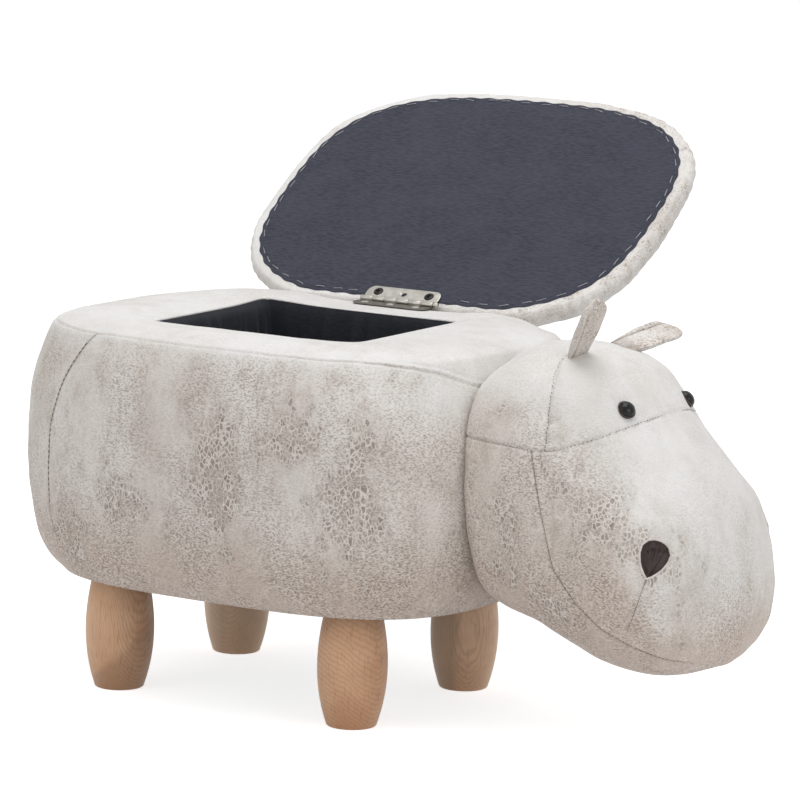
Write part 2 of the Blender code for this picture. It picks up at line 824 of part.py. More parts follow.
def panel_outlines():
    """Each panel of the head as a region of the side view, X and height."""
    far = body_half_length + 2 * head_reach
    high = 2 * head_start_height
    brow_bend = (brow_bend_x, brow_height)
    brow_rise = (brow_front_height - brow_height) / (brow_front_x - brow_bend_x)
    brow_end = (far, brow_height + brow_rise * (far - brow_bend_x))
    crown_run = (crown_seam_x - brow_bend_x) / (crown_seam_height - brow_height)
    crown_end = (brow_bend_x + crown_run * (high - brow_height), high)
    cheek_top = (cheek_top_x, brow_height)
    cheek = (cheek_x, cheek_height)
    chin_run = (chin_x - cheek_x) / (chin_height - cheek_height)
    chin_end = (cheek_x - chin_run * cheek_height, 0)
    return {
        "crown": [(0, brow_height), brow_bend, crown_end, (0, high)],
        "forehead": [brow_bend, brow_end, (far, 2 * high), crown_end],
        "muzzle": [cheek_top, cheek, chin_end, (far, 0), brow_end, brow_bend],
        "cheeks": [(0, 0), chin_end, cheek, cheek_top, (0, brow_height)],
    }


def make_head(parent, leather, stuffing_foam, ply, steel, pads, panels, bulkhead, body):
    """Neck board and screws, stuffing and the sewn panels of the head."""
    neck_start = body_half_length + gap
    neck_end = neck_start + neck_board_thickness
    neck_outline = [superellipse(neck_board_half_height, neck_board_half_width, 2,
                                 2 * math.pi * step / board_columns)
                    for step in range(board_columns)]
    facing = Matrix.Translation((0, 0, neck_height)) @ Matrix.Rotation(math.pi / 2, 4, "Y")

    def neck_plate(name, grow, start, end):
        rows = []
        for depth in (start, end):
            rows.append([facing @ Vector((x * grow, y * grow, depth)) for x, y in neck_outline])
        return loft_mesh(name, rows)

    board = add_object("neck_board", neck_plate("neck_board", 1, neck_start, neck_end), ply,
                       parent, smooth=False)
    room_share = 1 + gap / neck_board_half_width
    room = add_cutter("neck_board_room",
                      neck_plate("neck_board_room", room_share, 0, neck_end + gap), parent)

    places = [Matrix.Translation((0, side, neck_height)) @ Matrix.Rotation(math.pi / 2, 4, "Y")
              for side in (-neck_screw_half_spacing, neck_screw_half_spacing)]
    head_base = neck_end + gap
    head_top = head_base + neck_screw_head_length
    screw = [(0, bulkhead_inner), (neck_screw_radius, bulkhead_inner),
             (neck_screw_radius, head_base), (neck_screw_head_radius, head_base),
             (neck_screw_head_radius * neck_screw_dome_share, head_top), (0, head_top)]
    for side, place in zip(("right", "left"), places):
        name = "neck_screw_" + side
        add_object(name, turned_mesh(name, screw, [place], screw_steps), steel, parent)
    hole = neck_screw_radius + screw_play
    start = bulkhead_inner - cut_overrun
    room_of_head = neck_screw_head_radius + gap
    drilled = [(0, start), (hole, start), (hole, neck_end + gap / 2),
               (room_of_head, neck_end + gap / 2), (room_of_head, head_top + gap),
               (0, head_top + gap)]
    drill = turned_mesh("neck_screw_cutter", drilled, places, screw_steps)
    holes = add_cutter("neck_screw_cutter", drill, parent)

    rows = head_rows()
    normals = row_normals(rows, True)
    stuffing_rows = moved_in(rows, normals, padding_inset)
    stuffing = add_object("head_stuffing", loft_mesh("head_stuffing", stuffing_rows),
                          stuffing_foam, parent)
    for cutter in (body, room, holes):
        cut(stuffing, cutter)
    for piece in (bulkhead, board, pads["front"], panels["side_right"], panels["side_left"]):
        cut(piece, holes)

    inner = moved_in(rows, normals, cover_thickness)
    sheet = shell_mesh("head_cover", rows, inner, True, closed_end=True)
    sheet.materials.append(leather)
    for name, outline in panel_outlines().items():
        piece = add_object("head_cover_" + name, sheet.copy(), parent=parent)
        cut(piece, body)
        region = []
        for side in (-head_reach, head_reach):
            region.append([Vector((x, side, z)) for x, z in drawn_outline(outline, gap / 2)])
        cutter = add_cutter("region_" + name, loft_mesh("region_" + name, region), parent)
        cut(piece, cutter, "INTERSECT")
    return rows, normals


def make_ears(parent, leather, head_room):
    """Two cupped, stuffed leaves with round tips, sewn to the top of the head."""
    ears = {"right": (right_ear_spine_share, right_ear_angle, right_ear_lean_shares,
                      right_ear_across_shares),
            "left": (left_ear_spine_share, left_ear_angle, left_ear_lean_shares,
                     left_ear_across_shares)}
    last = len(ear_width_shares) - 1
    for side, (share, angle, lean, wide) in ears.items():
        axis = Vector(lean).normalized()
        across = (Vector(wide) - axis * axis.dot(Vector(wide))).normalized()
        face = axis.cross(across)
        root = head_place(share, angle)[0] - axis * ear_sunk
        rows = []
        for ring, width in enumerate(ear_width_shares):
            along = math.sin(math.pi / 2 * ring / last)
            centre = root + axis * (ear_length + ear_sunk) * along
            row = []
            for step in range(ear_steps):
                turn = 2 * math.pi * step / ear_steps
                aside = width * math.cos(turn)
                rise = ear_half_thickness * width * math.sin(turn)
                row.append(centre + across * ear_half_width * aside
                           + face * (rise - ear_cup * aside ** 2))
            rows.append(row)
        ear = add_object("ear_" + side, loft_mesh("ear_" + side, rows), leather, parent)
        cut(ear, head_room)


def nostril_outline():
    """A drop with its point down, as shares of its half width and half height."""
    last = len(nostril_width_shares) - 1
    heights = [-math.cos(math.pi * step / last) for step in range(last + 1)]
    right = list(zip(nostril_width_shares, heights))
    return right + [(-width, height) for width, height in reversed(right)]


def make_face(parent, black, brown, rows, normals, head_room):
    """Domed eyes, and nostrils of satin laid on the muzzle."""
    eye_mesh = bpy.data.meshes.new("eye")
    bm = bmesh.new()
    bmesh.ops.create_uvsphere(bm, u_segments=round_steps, v_segments=round_steps // 2 + 2,
                              radius=eye_radius)
    bm.to_mesh(eye_mesh)
    bm.free()
    above = moved_in(rows, normals, -gap - nostril_thickness)
    below = moved_in(rows, normals, -gap)
    satin = shell_mesh("satin", above, below, True, closed_end=True)
    satin.materials.append(brown)
    for side, sign, eye_share in (("right", 1, right_eye_spine_share),
                                  ("left", -1, left_eye_spine_share)):
        point, normal = head_place(eye_share, sign * eye_angle)
        eye = add_object("eye_" + side, eye_mesh.copy(), black, parent)
        eye.location = point - normal * eye_sunk
        cut(eye, head_room)
        centre, facing = head_place(nostril_spine_share, sign * nostril_angle)
        up = (Vector((0, 0, 1)) - facing * facing.z).normalized()
        up = Matrix.Rotation(-sign * nostril_lean, 3, facing) @ up
        across = up.cross(facing)
        region = [[centre + facing * reach + across * nostril_half_width * x
                   + up * nostril_half_height * y for x, y in nostril_outline()]
                  for reach in (-nostril_half_width, nostril_half_width)]
        nostril = add_object("nostril_" + side, satin.copy(), parent=parent)
        cutter = add_cutter("nostril_region_" + side, loft_mesh("nostril_region", region), parent)
        cut(nostril, cutter, "INTERSECT")


# Hinge and lid

def leaf_outline(y_near, y_far, half_length, corner):
    """Outline of a leaf: square beside the barrel, round at its outer corners."""
    outline = [(half_length, y_near), (-half_length, y_near)]
    for step in range(corner_steps + 1):
        angle = math.pi + math.pi / 2 * step / corner_steps
        outline.append((-half_length + corner + corner * math.cos(angle),
                        y_far + corner + corner * math.sin(angle)))
    for step in range(corner_steps + 1):
        angle = 1.5 * math.pi + math.pi / 2 * step / corner_steps
        outline.append((half_length - corner + corner * math.cos(angle),
                        y_far + corner + corner * math.sin(angle)))
    return outline


def curl_section():
    """Section across a knuckle: a tab that curls up round the pin."""
    start = -(hinge_barrel_radius + hinge_knuckle_play + hinge_leaf_thickness)
    section = [(start, -hinge_barrel_radius)]
    angles = [lerp(-math.pi / 2, hinge_curl_end, step / curl_steps)
              for step in range(curl_steps + 1)]
    for angle in angles:
        section.append((hinge_barrel_radius * math.cos(angle),
                        hinge_barrel_radius * math.sin(angle)))
    for angle in reversed(angles):
        section.append((curl_radius * math.cos(angle), curl_radius * math.sin(angle)))
    section.append((start, -curl_radius))
    return section


def knuckle_mesh(name, first, side):
    """Every second knuckle, starting with the first or the second."""
    bm = bmesh.new()
    for index in range(first, hinge_knuckle_count, 2):
        near = -hinge_length / 2 + knuckle_length * index + hinge_knuckle_play / 2
        far = near + knuckle_length - hinge_knuckle_play
        lines = add_rows(bm, [[Vector((x, y, z * side)) for y, z in curl_section()]
                              for x in (near, far)])
        skin(bm, lines, True)
        bm.faces.new(lines[0])
        bm.faces.new(lines[1])
    return finish_mesh(name, bm)


def make_leaf(name, parent, nickel, first_knuckle, side):
    """A hinge leaf that points to -Y, under its barrel where side is -1 and over it at 1."""
    near = -(hinge_barrel_radius + hinge_knuckle_play)
    outline = leaf_outline(near, -hinge_leaf_width, hinge_length / 2, hinge_leaf_corner)
    bottom, top = sorted((side * hinge_barrel_radius, side * curl_radius))
    leaf = add_object(name, plate_mesh(name, outline, bottom, top), nickel, parent, smooth=False)
    knuckles = knuckle_mesh(name + "_knuckles", first_knuckle, -side)
    cut(leaf, add_cutter(name + "_knuckles", knuckles, parent), "UNION")
    return leaf


def screw_profile(length, play=0.0, overrun=0.0):
    """A countersunk screw whose head's top is at height 0 and whose tip points down."""
    head = screw_head_radius + play
    shank = screw_radius + play
    return [(0, overrun), (head, overrun), (head, -gap), (shank, -screw_head_depth - gap),
            (shank, -length * screw_taper_share), (shank * screw_tip_share, -length - play),
            (0, -length - play)]


def make_screws(name, parent, finish, side, xs, length, layers):
    """Screws through a leaf and the layers behind it, with their holes."""
    turn = Matrix.Rotation(math.pi, 4, "X") if side > 0 else Matrix.Identity(4)
    places = [Matrix.Translation((x, -screw_from_axis, side * curl_radius)) @ turn for x in xs]
    mesh = turned_mesh(name, screw_profile(length), steps=screw_steps)
    mesh.materials.append(finish)
    for number, place in enumerate(places, start=1):
        add_object(f"{name}_{number}", mesh, parent=parent).matrix_local = place
    profile = screw_profile(length, screw_play, cut_overrun)
    holes = turned_mesh(name + "_cutter", profile, places, screw_steps)
    cutter = add_cutter(name + "_cutter", holes, parent)
    for layer in layers:
        cut(layer, cutter)


def make_hinge(axis, lid, nickel, black, body_layers, lid_layers):
    """Two leaves, the pin and the screws, placed on the hinge's axis."""
    body_leaf = make_leaf("hinge_leaf_body", axis, nickel, 0, -1)
    lid_leaf = make_leaf("hinge_leaf_lid", lid, nickel, 1, 1)
    end = hinge_length / 2 + gap
    pin = [(0, -hinge_length / 2), (pin_radius, -hinge_length / 2), (pin_radius, end),
           (hinge_pin_head_radius, end),
           (hinge_pin_head_radius, end + hinge_pin_head_length * hinge_pin_dome_share),
           (hinge_pin_head_radius * hinge_pin_dome_share, end + hinge_pin_head_length),
           (0, end + hinge_pin_head_length)]
    facing = Matrix.Rotation(math.pi / 2, 4, "Y")
    add_object("hinge_pin", turned_mesh("hinge_pin", pin, [facing], screw_steps), nickel, axis)
    middle = (-screw_spacing, 0, screw_spacing)
    make_screws("hinge_screw_body", axis, nickel, -1, middle, body_screw_length,
                [body_leaf] + body_layers)
    ends = (-screw_spacing, screw_spacing)
    make_screws("hinge_screw_lid", lid, black, 1, ends, lid_screw_length,
                [lid_leaf] + lid_layers)
    spare = [(0, -cut_overrun), (spare_hole_radius, -cut_overrun),
             (spare_hole_radius, cut_overrun), (0, cut_overrun)]
    place = Matrix.Translation((0, -screw_from_axis, hinge_barrel_radius))
    cut(lid_leaf, add_cutter("spare_hole", turned_mesh("spare_hole", spare, [place], screw_steps),
                             lid))
    return lid_leaf


def make_lid(lid, ply, foam, leather, lining_cloth):
    """Board, foam, cover and lining, modelled closed in the hinge axis's frame."""
    rows = lid_rows()
    normals = row_normals(rows, True)
    inner = moved_in(rows, normals, cover_thickness)
    cover = add_object("lid_cover", shell_mesh("lid_cover", rows, inner, True, closed_end=True),
                       leather, lid)
    board_bottom = lid_under + cover_thickness + gap
    board_top = board_bottom + lid_board_thickness
    board_height = board_top + gap - lid_under
    rear_margin = padding_inset + lid_under_roll
    board_outline = lid_outline(lid_board_margin, board_height, rear_margin)
    board = add_object("lid_board", plate_mesh("lid_board", board_outline, board_bottom,
                                               board_top), ply, lid, smooth=False)
    core = moved_in(rows, normals, padding_inset)
    pad = add_object("lid_foam", loft_mesh("lid_foam", core), foam, lid)
    room_outline = lid_outline(lid_board_margin - gap, board_height, rear_margin - gap)
    room = plate_mesh("lid_board_room", room_outline, lid_under - cut_overrun, board_top + gap)
    cut(pad, add_cutter("lid_board_room", room, lid))
    lining_outline = lid_outline(lid_rim, 0.0, lining_rear_margin)
    lining = add_object("lid_lining", plate_mesh("lid_lining", lining_outline, lining_from_axis,
                                                 lining_from_axis + lining_thickness),
                        lining_cloth, lid, smooth=False)
    return board, cover, lining


def add_empty(name, parent=None):
    made = bpy.data.objects.new(name, None)
    bpy.context.scene.collection.objects.link(made)
    made.parent = parent
    return made


def hinge_axis_height():
    """The barrel rests on the flattened top panel."""
    inset = drawn_in(top_seam_height)
    seam_y = body_half_width - inset
    share = (seam_y - (hinge_y - hinge_leaf_width)) / (seam_y - bin_width / 2)
    seat = top_height(share, hinge_offset_x, hinge_y)
    return seat + gap + hinge_barrel_radius


def centre_origin(root):
    """Move the part so that the origin lies under the centre of its bounding box."""
    bpy.context.view_layer.update()
    graph = bpy.context.evaluated_depsgraph_get()
    xs = []
    ys = []
    for piece in bpy.context.scene.objects:
        if piece.type != "MESH" or piece.hide_render:
            continue
        shape = piece.evaluated_get(graph)
        for vertex in shape.data.vertices:
            place = shape.matrix_world @ vertex.co
            xs.append(place.x)
            ys.append(place.y)
    root.location = (-(min(xs) + max(xs)) / 2, -(min(ys) + max(ys)) / 2, 0)


def build():
    for old in list(bpy.data.objects):
        bpy.data.objects.remove(old, do_unlink=True)
    leather = material("faux_leather", OFF_WHITE, 0.6)
    black = material("black_cloth", NEAR_BLACK, 0.9)
    lining_cloth = material("lining_cloth", CHARCOAL, 0.9)
    ply = material("plywood", PLY, 0.7)
    leg_wood = material("leg_wood", LEG_WOOD, 0.5)
    foam = material("foam", FOAM, 0.9)
    nickel = material("nickel", NICKEL, 0.35, 1.0)
    steel = material("steel", STEEL, 0.35, 1.0)
    gloss_black = material("gloss_black", BLACK, 0.15)
    brown = material("brown_satin", BROWN, 0.5)

    root = add_empty("ottoman")
    make_legs(root, leg_wood, steel)
    deck, opening_cutter = make_frame(root, ply, black)
    make_liner(root, black)
    rows = body_rows()
    normals = row_normals(rows, True)
    pads = make_padding(root, foam, rows, normals, deck, opening_cutter)
    panels = make_cover(root, leather, rows, normals, opening_cutter)
    body = add_cutter("body_room", loft_mesh("body_room", moved_in(rows, normals, -gap)), root)
    bulkhead = bpy.data.objects["bulkhead_front"]
    head, head_normals = make_head(root, leather, foam, ply, steel, pads, panels, bulkhead, body)
    head_room = add_cutter("head_room", loft_mesh("head_room", moved_in(head, head_normals, -gap)),
                           root)
    make_ears(root, leather, head_room)
    make_face(root, gloss_black, brown, head, head_normals, head_room)

    place = (hinge_offset_x, hinge_y, hinge_axis_height())
    axis = add_empty("hinge_axis", root)
    axis.location = place
    lid = add_empty("lid_on_hinge", root)
    lid.location = place
    lid.rotation_euler = (-lid_open_angle, 0, 0)
    board, cover, lining = make_lid(lid, ply, foam, leather, lining_cloth)
    make_hinge(axis, lid, nickel, gloss_black, [panels["top"], pads["top"], deck],
               [lining, cover, board])
    centre_origin(root)


build()
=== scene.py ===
"""Looks of the storage ottoman in the shape of a hippo.

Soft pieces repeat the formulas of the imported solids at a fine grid, in metres, with X = 0 and
Y = 0 at the body's centre and the floor at Z = 0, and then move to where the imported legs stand.
"""
import math

import bmesh
import bpy
import numpy as np
from mathutils import Matrix, Vector
from mathutils.bvhtree import BVHTree


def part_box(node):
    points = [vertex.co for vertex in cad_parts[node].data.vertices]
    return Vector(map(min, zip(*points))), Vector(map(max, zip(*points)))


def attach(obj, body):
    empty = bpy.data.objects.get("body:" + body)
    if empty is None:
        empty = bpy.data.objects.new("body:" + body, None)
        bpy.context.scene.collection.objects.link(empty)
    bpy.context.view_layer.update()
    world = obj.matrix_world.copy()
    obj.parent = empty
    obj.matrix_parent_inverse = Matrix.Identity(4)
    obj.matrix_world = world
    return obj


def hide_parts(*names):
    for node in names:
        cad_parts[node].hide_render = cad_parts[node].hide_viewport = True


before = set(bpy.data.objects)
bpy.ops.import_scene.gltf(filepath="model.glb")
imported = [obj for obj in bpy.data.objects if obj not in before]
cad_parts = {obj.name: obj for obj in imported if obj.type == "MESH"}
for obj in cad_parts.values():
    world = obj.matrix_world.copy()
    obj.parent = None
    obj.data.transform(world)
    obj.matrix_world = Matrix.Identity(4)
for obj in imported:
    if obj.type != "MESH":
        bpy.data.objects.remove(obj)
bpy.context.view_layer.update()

full_turn, quarter_turn = 2 * math.pi, math.pi / 2

# Sizes of the solids
body_half_length, body_half_width = 0.2224, 0.1763
ground_clearance, side_height = 0.0991, 0.2124
plan_exponent = 3.09
widest_share, top_roll_share, bottom_roll_share, roll_exponent = 0.477, 0.5925, 0.6695, 2.85
opening_edge_rise, crown_height = 0.0025, 0.0050
rear_seam_share, rear_seam_lean_share = 0.675, 0.145
flat_half_length = 0.085
pressed_depth, pressed_half_length, pressed_width_share, pressed_exponent = 0.0130, 0.160, 0.25, 6
edge_half_x, edge_half_y, edge_roll = 0.0990, 0.0840, 0.0011
bin_half_x, bin_half_y, bin_floor, bin_corner = 0.0935, 0.0825, 0.1139, 0.004
leg_offset_x, leg_radii, leg_edge_radius = -0.0073, (0.0212, 0.0290, 0.0228), 0.0022
top_seam_height = ground_clearance + side_height
widest_height = ground_clearance + widest_share * side_height
edge_height = top_seam_height + opening_edge_rise

head_start, head_start_height, head_reach, head_drop = 0.1977, 0.2000, 0.2120, 0.1260
head_half_height, head_half_width, head_exponent = 0.1170, 0.1100, 2.45
spine_reach_shares = (0.0, 0.142, 0.316, 0.482, 0.670, 0.828, 0.935, 0.990)
spine_drop_shares = (0.0, -0.140, -0.069, 0.160, 0.386, 0.695, 0.885, 0.960)
head_height_shares = (0.80, 0.912, 0.969, 0.876, 0.750, 0.528, 0.260, 0.04)
head_width_shares = (0.74, 0.877, 0.960, 0.985, 0.985, 0.910, 0.69, 0.20)
head_tilts = tuple(math.radians(angle) for angle in (0, 11.5, 28.5, 40.2, 48.1, 50.9, 50, 50))
dome_rows = 14

lid_half_length, lid_half_width, lid_exponent = 0.1983, 0.1485, 3.0
lid_offset_x, lid_from_axis = -0.0003, 0.1394
lid_edge_thickness, lid_crown, lid_rim = 0.0245, 0.0060, 0.0095
lid_under_roll, lid_top_roll, lid_widest_share = 0.0045, 0.0190, 0.34
lid_rear_roll, lid_rear_offset, lining_rear_margin = 0.0270, 0.0006, 0.0062
lid_open_angle = math.radians(145.0)
hinge_offset_x, hinge_length, barrel_radius = 0.0022, 0.0740, 0.0027
leaf_thickness, leaf_width, leaf_corner, knuckles = 0.0012, 0.0180, 0.0070, 6
screw_spacing, screw_from_axis, screw_hole_radius = 0.0258, 0.0112, 0.0022
lining_from_axis, lining_thickness = 0.0030, 0.0007
lid_under = lining_from_axis + lining_thickness + 0.0003

ear_length, ear_half_width, ear_half_thickness, ear_cup, ear_sunk = 0.0618, 0.0149, 0.0052, 0.0040, 0.0090
ear_widths = (0.72, 0.80, 0.88, 0.96, 1.01, 1.02, 0.97, 0.86)
ears = {
    "right": (0.2080, math.radians(17.0), (0.48, -0.40, 0.75), (0.21, 0.93, 0.29), 0.0045),
    "left": (0.2190, math.radians(-19.0), (0.22, 0.95, 0.15), (0.93, -0.20, -0.28), 0.0010),
}
eyes = {"right": (0.3492, math.radians(22.3)), "left": (0.3572, math.radians(-22.3))}
eye_radius = 0.0074
nostril_share, nostril_angle, nostril_lean = 0.6125, math.radians(55.6), math.radians(21.0)
nostril_half_width, nostril_half_height, nostril_middle = 0.0120, 0.0155, 0.1
nostril_heights = (-1.0, -0.92, -0.70, -0.35, 0.10, 0.50, 0.82, 0.96, 1.0)
nostril_widths = (0.0, 0.14, 0.42, 0.74, 0.97, 1.00, 0.72, 0.36, 0.0)
nostril_folds = ((-0.46, 0.0019, 0.13), (0.04, 0.0026, 0.11), (0.44, 0.0018, 0.12))

# Where the top seam runs lower towards the head: X, and how much lower
front_dip_x = (0.138, 0.157, 0.175, 0.1884, 0.1952, 0.1997, 0.2040)
front_dip = (0.0, 0.0014, 0.0045, 0.0099, 0.0165, 0.0227, 0.0290)

# Small things: puckers beside a seam, wrinkles along the crown seam by place and size, folds of the
# liner by length and depth, staples, and screw heads by share of their radius and height
pucker_lengths = (0.006, 0.0085, 0.0137, 0.021)
brow_wrinkles = ((0.012, 0.8), (0.024, 0.6), (0.047, 1.0), (0.058, 1.0), (0.076, 0.5))
liner_folds = ((0.023, 0.0014), (0.037, 0.0018), (0.061, 0.0014), (0.0125, 0.0005))
lid_staple_count, dust_staple_count, staple_half_length, staple_wire = 58, 72, 0.0045, 0.00026
lower_head_radius, upper_head_radius = 0.0037, 0.0045
screw_profile = ((0.42, -0.0024), (0.42, -0.0014), (1, -0.0002), (1, 0.0), (0.93, 0.0005), (0.6, 0.0009),
                 (0.2, 0.0011))

# Seams of the head seen from the side, X and height, and a crease on its far side
crown_seam = ((0.2930, 0.2493), (0.2914, 0.2694), (0.2875, 0.2877), (0.2845, 0.3000), (0.2765, 0.3150),
              (0.2700, 0.3300))
brow_seam = ((0.1900, 0.2512), (0.2497, 0.2508), (0.2819, 0.2490), (0.2930, 0.2493), (0.3047, 0.2520),
             (0.3314, 0.2621), (0.3477, 0.2721), (0.3590, 0.2772), (0.3900, 0.2830))
cheek_seam = ((0.2817, 0.2490), (0.2957, 0.1963), (0.3069, 0.1576), (0.3276, 0.1330), (0.3490, 0.1150),
              (0.3700, 0.1045), (0.4050, 0.0880))
dart_seam = ((0.3866, 0.1600), (0.3843, 0.1515), (0.3810, 0.1380), (0.3765, 0.1255), (0.3712, 0.1140))
far_crease = ((0.3060, 0.0060, 0.3160), (0.3193, 0.0140, 0.3088), (0.3269, 0.0185, 0.3035),
              (0.3315, 0.0262, 0.2972), (0.3350, 0.0350, 0.2885))

# Where the stuffing stands out over the plain loft: how far, share of the spine, spread along it,
# degrees from the top and spread round it.  A brow over each eye, hollows at and below it, full cheeks
mouldings = ((0.0040, 0.270, 0.050, 34, 13), (-0.0038, 0.375, 0.050, 24, 15),
             (-0.0040, 0.470, 0.070, 40, 18), (0.0092, 0.040, 0.150, 56, 38))

# Worn patches of the cover: place, width and height
worn_patches = (
    (0.032, -0.175, 0.205, 0.026, 0.060), (0.150, -0.155, 0.190, 0.034, 0.055),
    (0.095, -0.170, 0.250, 0.030, 0.030), (-0.060, -0.175, 0.180, 0.030, 0.030),
    (0.262, -0.104, 0.170, 0.024, 0.046), (0.355, -0.088, 0.205, 0.036, 0.034),
    (0.382, -0.085, 0.178, 0.026, 0.026), (0.300, -0.105, 0.120, 0.028, 0.026),
    (-0.135, -0.160, 0.150, 0.030, 0.040), (-0.100, 0.175, 0.180, 0.034, 0.060),
    (0.080, 0.172, 0.220, 0.030, 0.050), (0.320, 0.095, 0.180, 0.030, 0.040),
    (-0.222, 0.020, 0.220, 0.034, 0.055), (-0.205, -0.090, 0.150, 0.030, 0.045),
    (0.300, 0.050, 0.090, 0.030, 0.030))

world_level, floor_glow = 0.45, 0.75
lamps = (("lamp_top", (0.1, -0.2, 2.4), (0, 0, 0.25), 1.8, 26.0),
         ("lamp_left", (-1.2, -2.6, 1.4), (0, 0, 0.25), 1.8, 9.0),
         ("lamp_right", (2.5, -0.7, 1.1), (0.1, 0, 0.2), 1.6, 13.0))


def middle_of(node):
    low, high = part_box(node)
    return (low + high) / 2


leg_names = ("front_right", "front_left", "rear_right", "rear_left")
leg_places = [middle_of("leg_" + name) for name in leg_names]
centre = Vector((sum(place.x for place in leg_places) / 4 - leg_offset_x,
                 sum(place.y for place in leg_places) / 4, 0))
axis = Vector((middle_of("hinge_leaf_body").x, *middle_of("hinge_pin").yz))
lid_place = Matrix.Translation(axis) @ Matrix.Rotation(-lid_open_angle, 4, "X")


# Camera, light and floor

def add_object(name, data):
    made = bpy.data.objects.new(name, data)
    bpy.context.scene.collection.objects.link(made)
    return made


def add_camera():
    """The photograph's view: a long lens, low, from the front right of the animal."""
    turn, lift, roll, away = 0.5599, 0.163, 0.0222, 3.728
    back = Vector((math.sin(turn) * math.cos(lift), -math.cos(turn) * math.cos(lift), math.sin(lift)))
    right = Vector((math.cos(turn), math.sin(turn), 0))
    up = back.cross(right)
    across = right * math.cos(roll) + up * math.sin(roll)
    above = up * math.cos(roll) - right * math.sin(roll)
    place = Vector((centre.x + leg_offset_x + 0.1022, centre.y, 0.2570)) + back * away
    camera = add_object("camera", bpy.data.cameras.new("camera"))
    camera.data.sensor_width, camera.data.lens, camera.data.clip_end = 36, 202.5, 20
    camera.matrix_world = Matrix((across, above, back)).transposed().to_4x4()
    camera.matrix_world.translation = place
    bpy.context.scene.camera = camera


def add_lamp(name, place, target, size, power):
    data = bpy.data.lights.new(name, "AREA")
    data.shape, data.size, data.energy = "SQUARE", size, power
    lamp = add_object(name, data)
    lamp.location = place
    lamp.rotation_euler = (Vector(target) - Vector(place)).to_track_quat("-Z", "Y").to_euler()


class Nodes:
    """Shader nodes of a tree, whose values are sockets or plain numbers."""

    def __init__(self, tree):
        self.tree = tree

    def node(self, kind, inputs=None, **settings):
        made = self.tree.nodes.new(kind)
        for key, value in settings.items():
            setattr(made, key, value)
        for key, value in (inputs or {}).items():
            self.feed(made.inputs[key], value)
        return made

    def feed(self, socket, value):
        if isinstance(value, bpy.types.NodeSocket):
            self.tree.links.new(value, socket)
        else:
            socket.default_value = value

    def math(self, operation, first, *others):
        for other in others:
            first = self.node("ShaderNodeMath", {0: first, 1: other}, operation=operation).outputs[0]
        return first

    def times(self, *values):
        return self.math("MULTIPLY", *values)

    def step(self, value, low, high, to_low=0.0, to_high=1.0):
        return self.node("ShaderNodeMapRange", {"Value": value, "From Min": low, "From Max": high,
                                                "To Min": to_low, "To Max": to_high},
                         interpolation_type="SMOOTHSTEP").outputs[0]

    def seen_directly(self):
        """1 for the camera and for what shows in metal or glass."""
        path = self.node("ShaderNodeLightPath").outputs
        return self.math("MAXIMUM", *(path[f"Is {ray} Ray"] for ray in ("Camera", "Glossy", "Transmission")))


class Shader(Nodes):
    """A material made of nodes."""

    def __init__(self, name):
        self.material = bpy.data.materials.new(name)
        self.material.use_nodes = True
        super().__init__(self.material.node_tree)
        self.surface = self.tree.nodes["Principled BSDF"]
        self.place = self.node("ShaderNodeTexCoord").outputs["Object"]

    def set(self, **values):
        for key, value in values.items():
            self.feed(self.surface.inputs[key.replace("_", " ")], value)
        return self.material

    def scaled(self, vector, scale, shift=(0, 0, 0), turn=(0, 0, 0)):
        return self.node("ShaderNodeMapping", {"Vector": vector, "Scale": scale, "Location": shift,
                                               "Rotation": turn}).outputs[0]

    def noise(self, vector, scale, detail=2.0, roughness=0.5, distortion=0.0, output="Fac"):
        inputs = {"Vector": vector, "Scale": scale, "Detail": detail, "Roughness": roughness,
                  "Distortion": distortion}
        return self.node("ShaderNodeTexNoise", inputs).outputs[output]

    def cells(self, vector, scale, feature="DISTANCE_TO_EDGE", output="Distance"):
        return self.node("ShaderNodeTexVoronoi", {"Vector": vector, "Scale": scale},
                         feature=feature).outputs[output]

    def waves(self, vector, scale, distortion, detail, detail_scale, **settings):
        inputs = {"Vector": vector, "Scale": scale, "Distortion": distortion, "Detail": detail,
                  "Detail Scale": detail_scale}
        return self.node("ShaderNodeTexWave", inputs, **settings).outputs["Fac"]

    def mix(self, share, first, second):
        made = self.node("ShaderNodeMix", {"Factor": share}, data_type="RGBA")
        self.feed(made.inputs[6], first)
        self.feed(made.inputs[7], second)
        return made.outputs[2]

    def over(self, colour, paint, *shares):
        """The colour with a paint over it, by the product of the shares."""
        return self.mix(self.times(*shares), colour, tone(*paint))

    def vector(self, operation, *values, output="Vector"):
        return self.node("ShaderNodeVectorMath", dict(enumerate(values)), operation=operation).outputs[output]

    def warped(self, vector, scale, reach, detail=2.0):
        """The vector pushed about by noise, by up to half the reach."""
        push = self.vector("SUBTRACT", self.noise(vector, scale, detail, output="Color"), (0.5, 0.5, 0.5))
        push = self.node("ShaderNodeVectorMath", {0: push, "Scale": reach}, operation="SCALE").outputs[0]
        return self.vector("ADD", vector, push)

    def bump(self, height, distance, strength):
        return self.node("ShaderNodeBump", {"Height": height, "Distance": distance,
                                            "Strength": strength}).outputs[0]


def tone(red, green, blue):
    """A colour given in 0 to 255 as it looks on a screen."""
    shares = [value / 255 for value in (red, green, blue)]
    return (*(share / 12.92 if share <= 0.04045 else ((share + 0.055) / 1.055) ** 2.4
              for share in shares), 1.0)


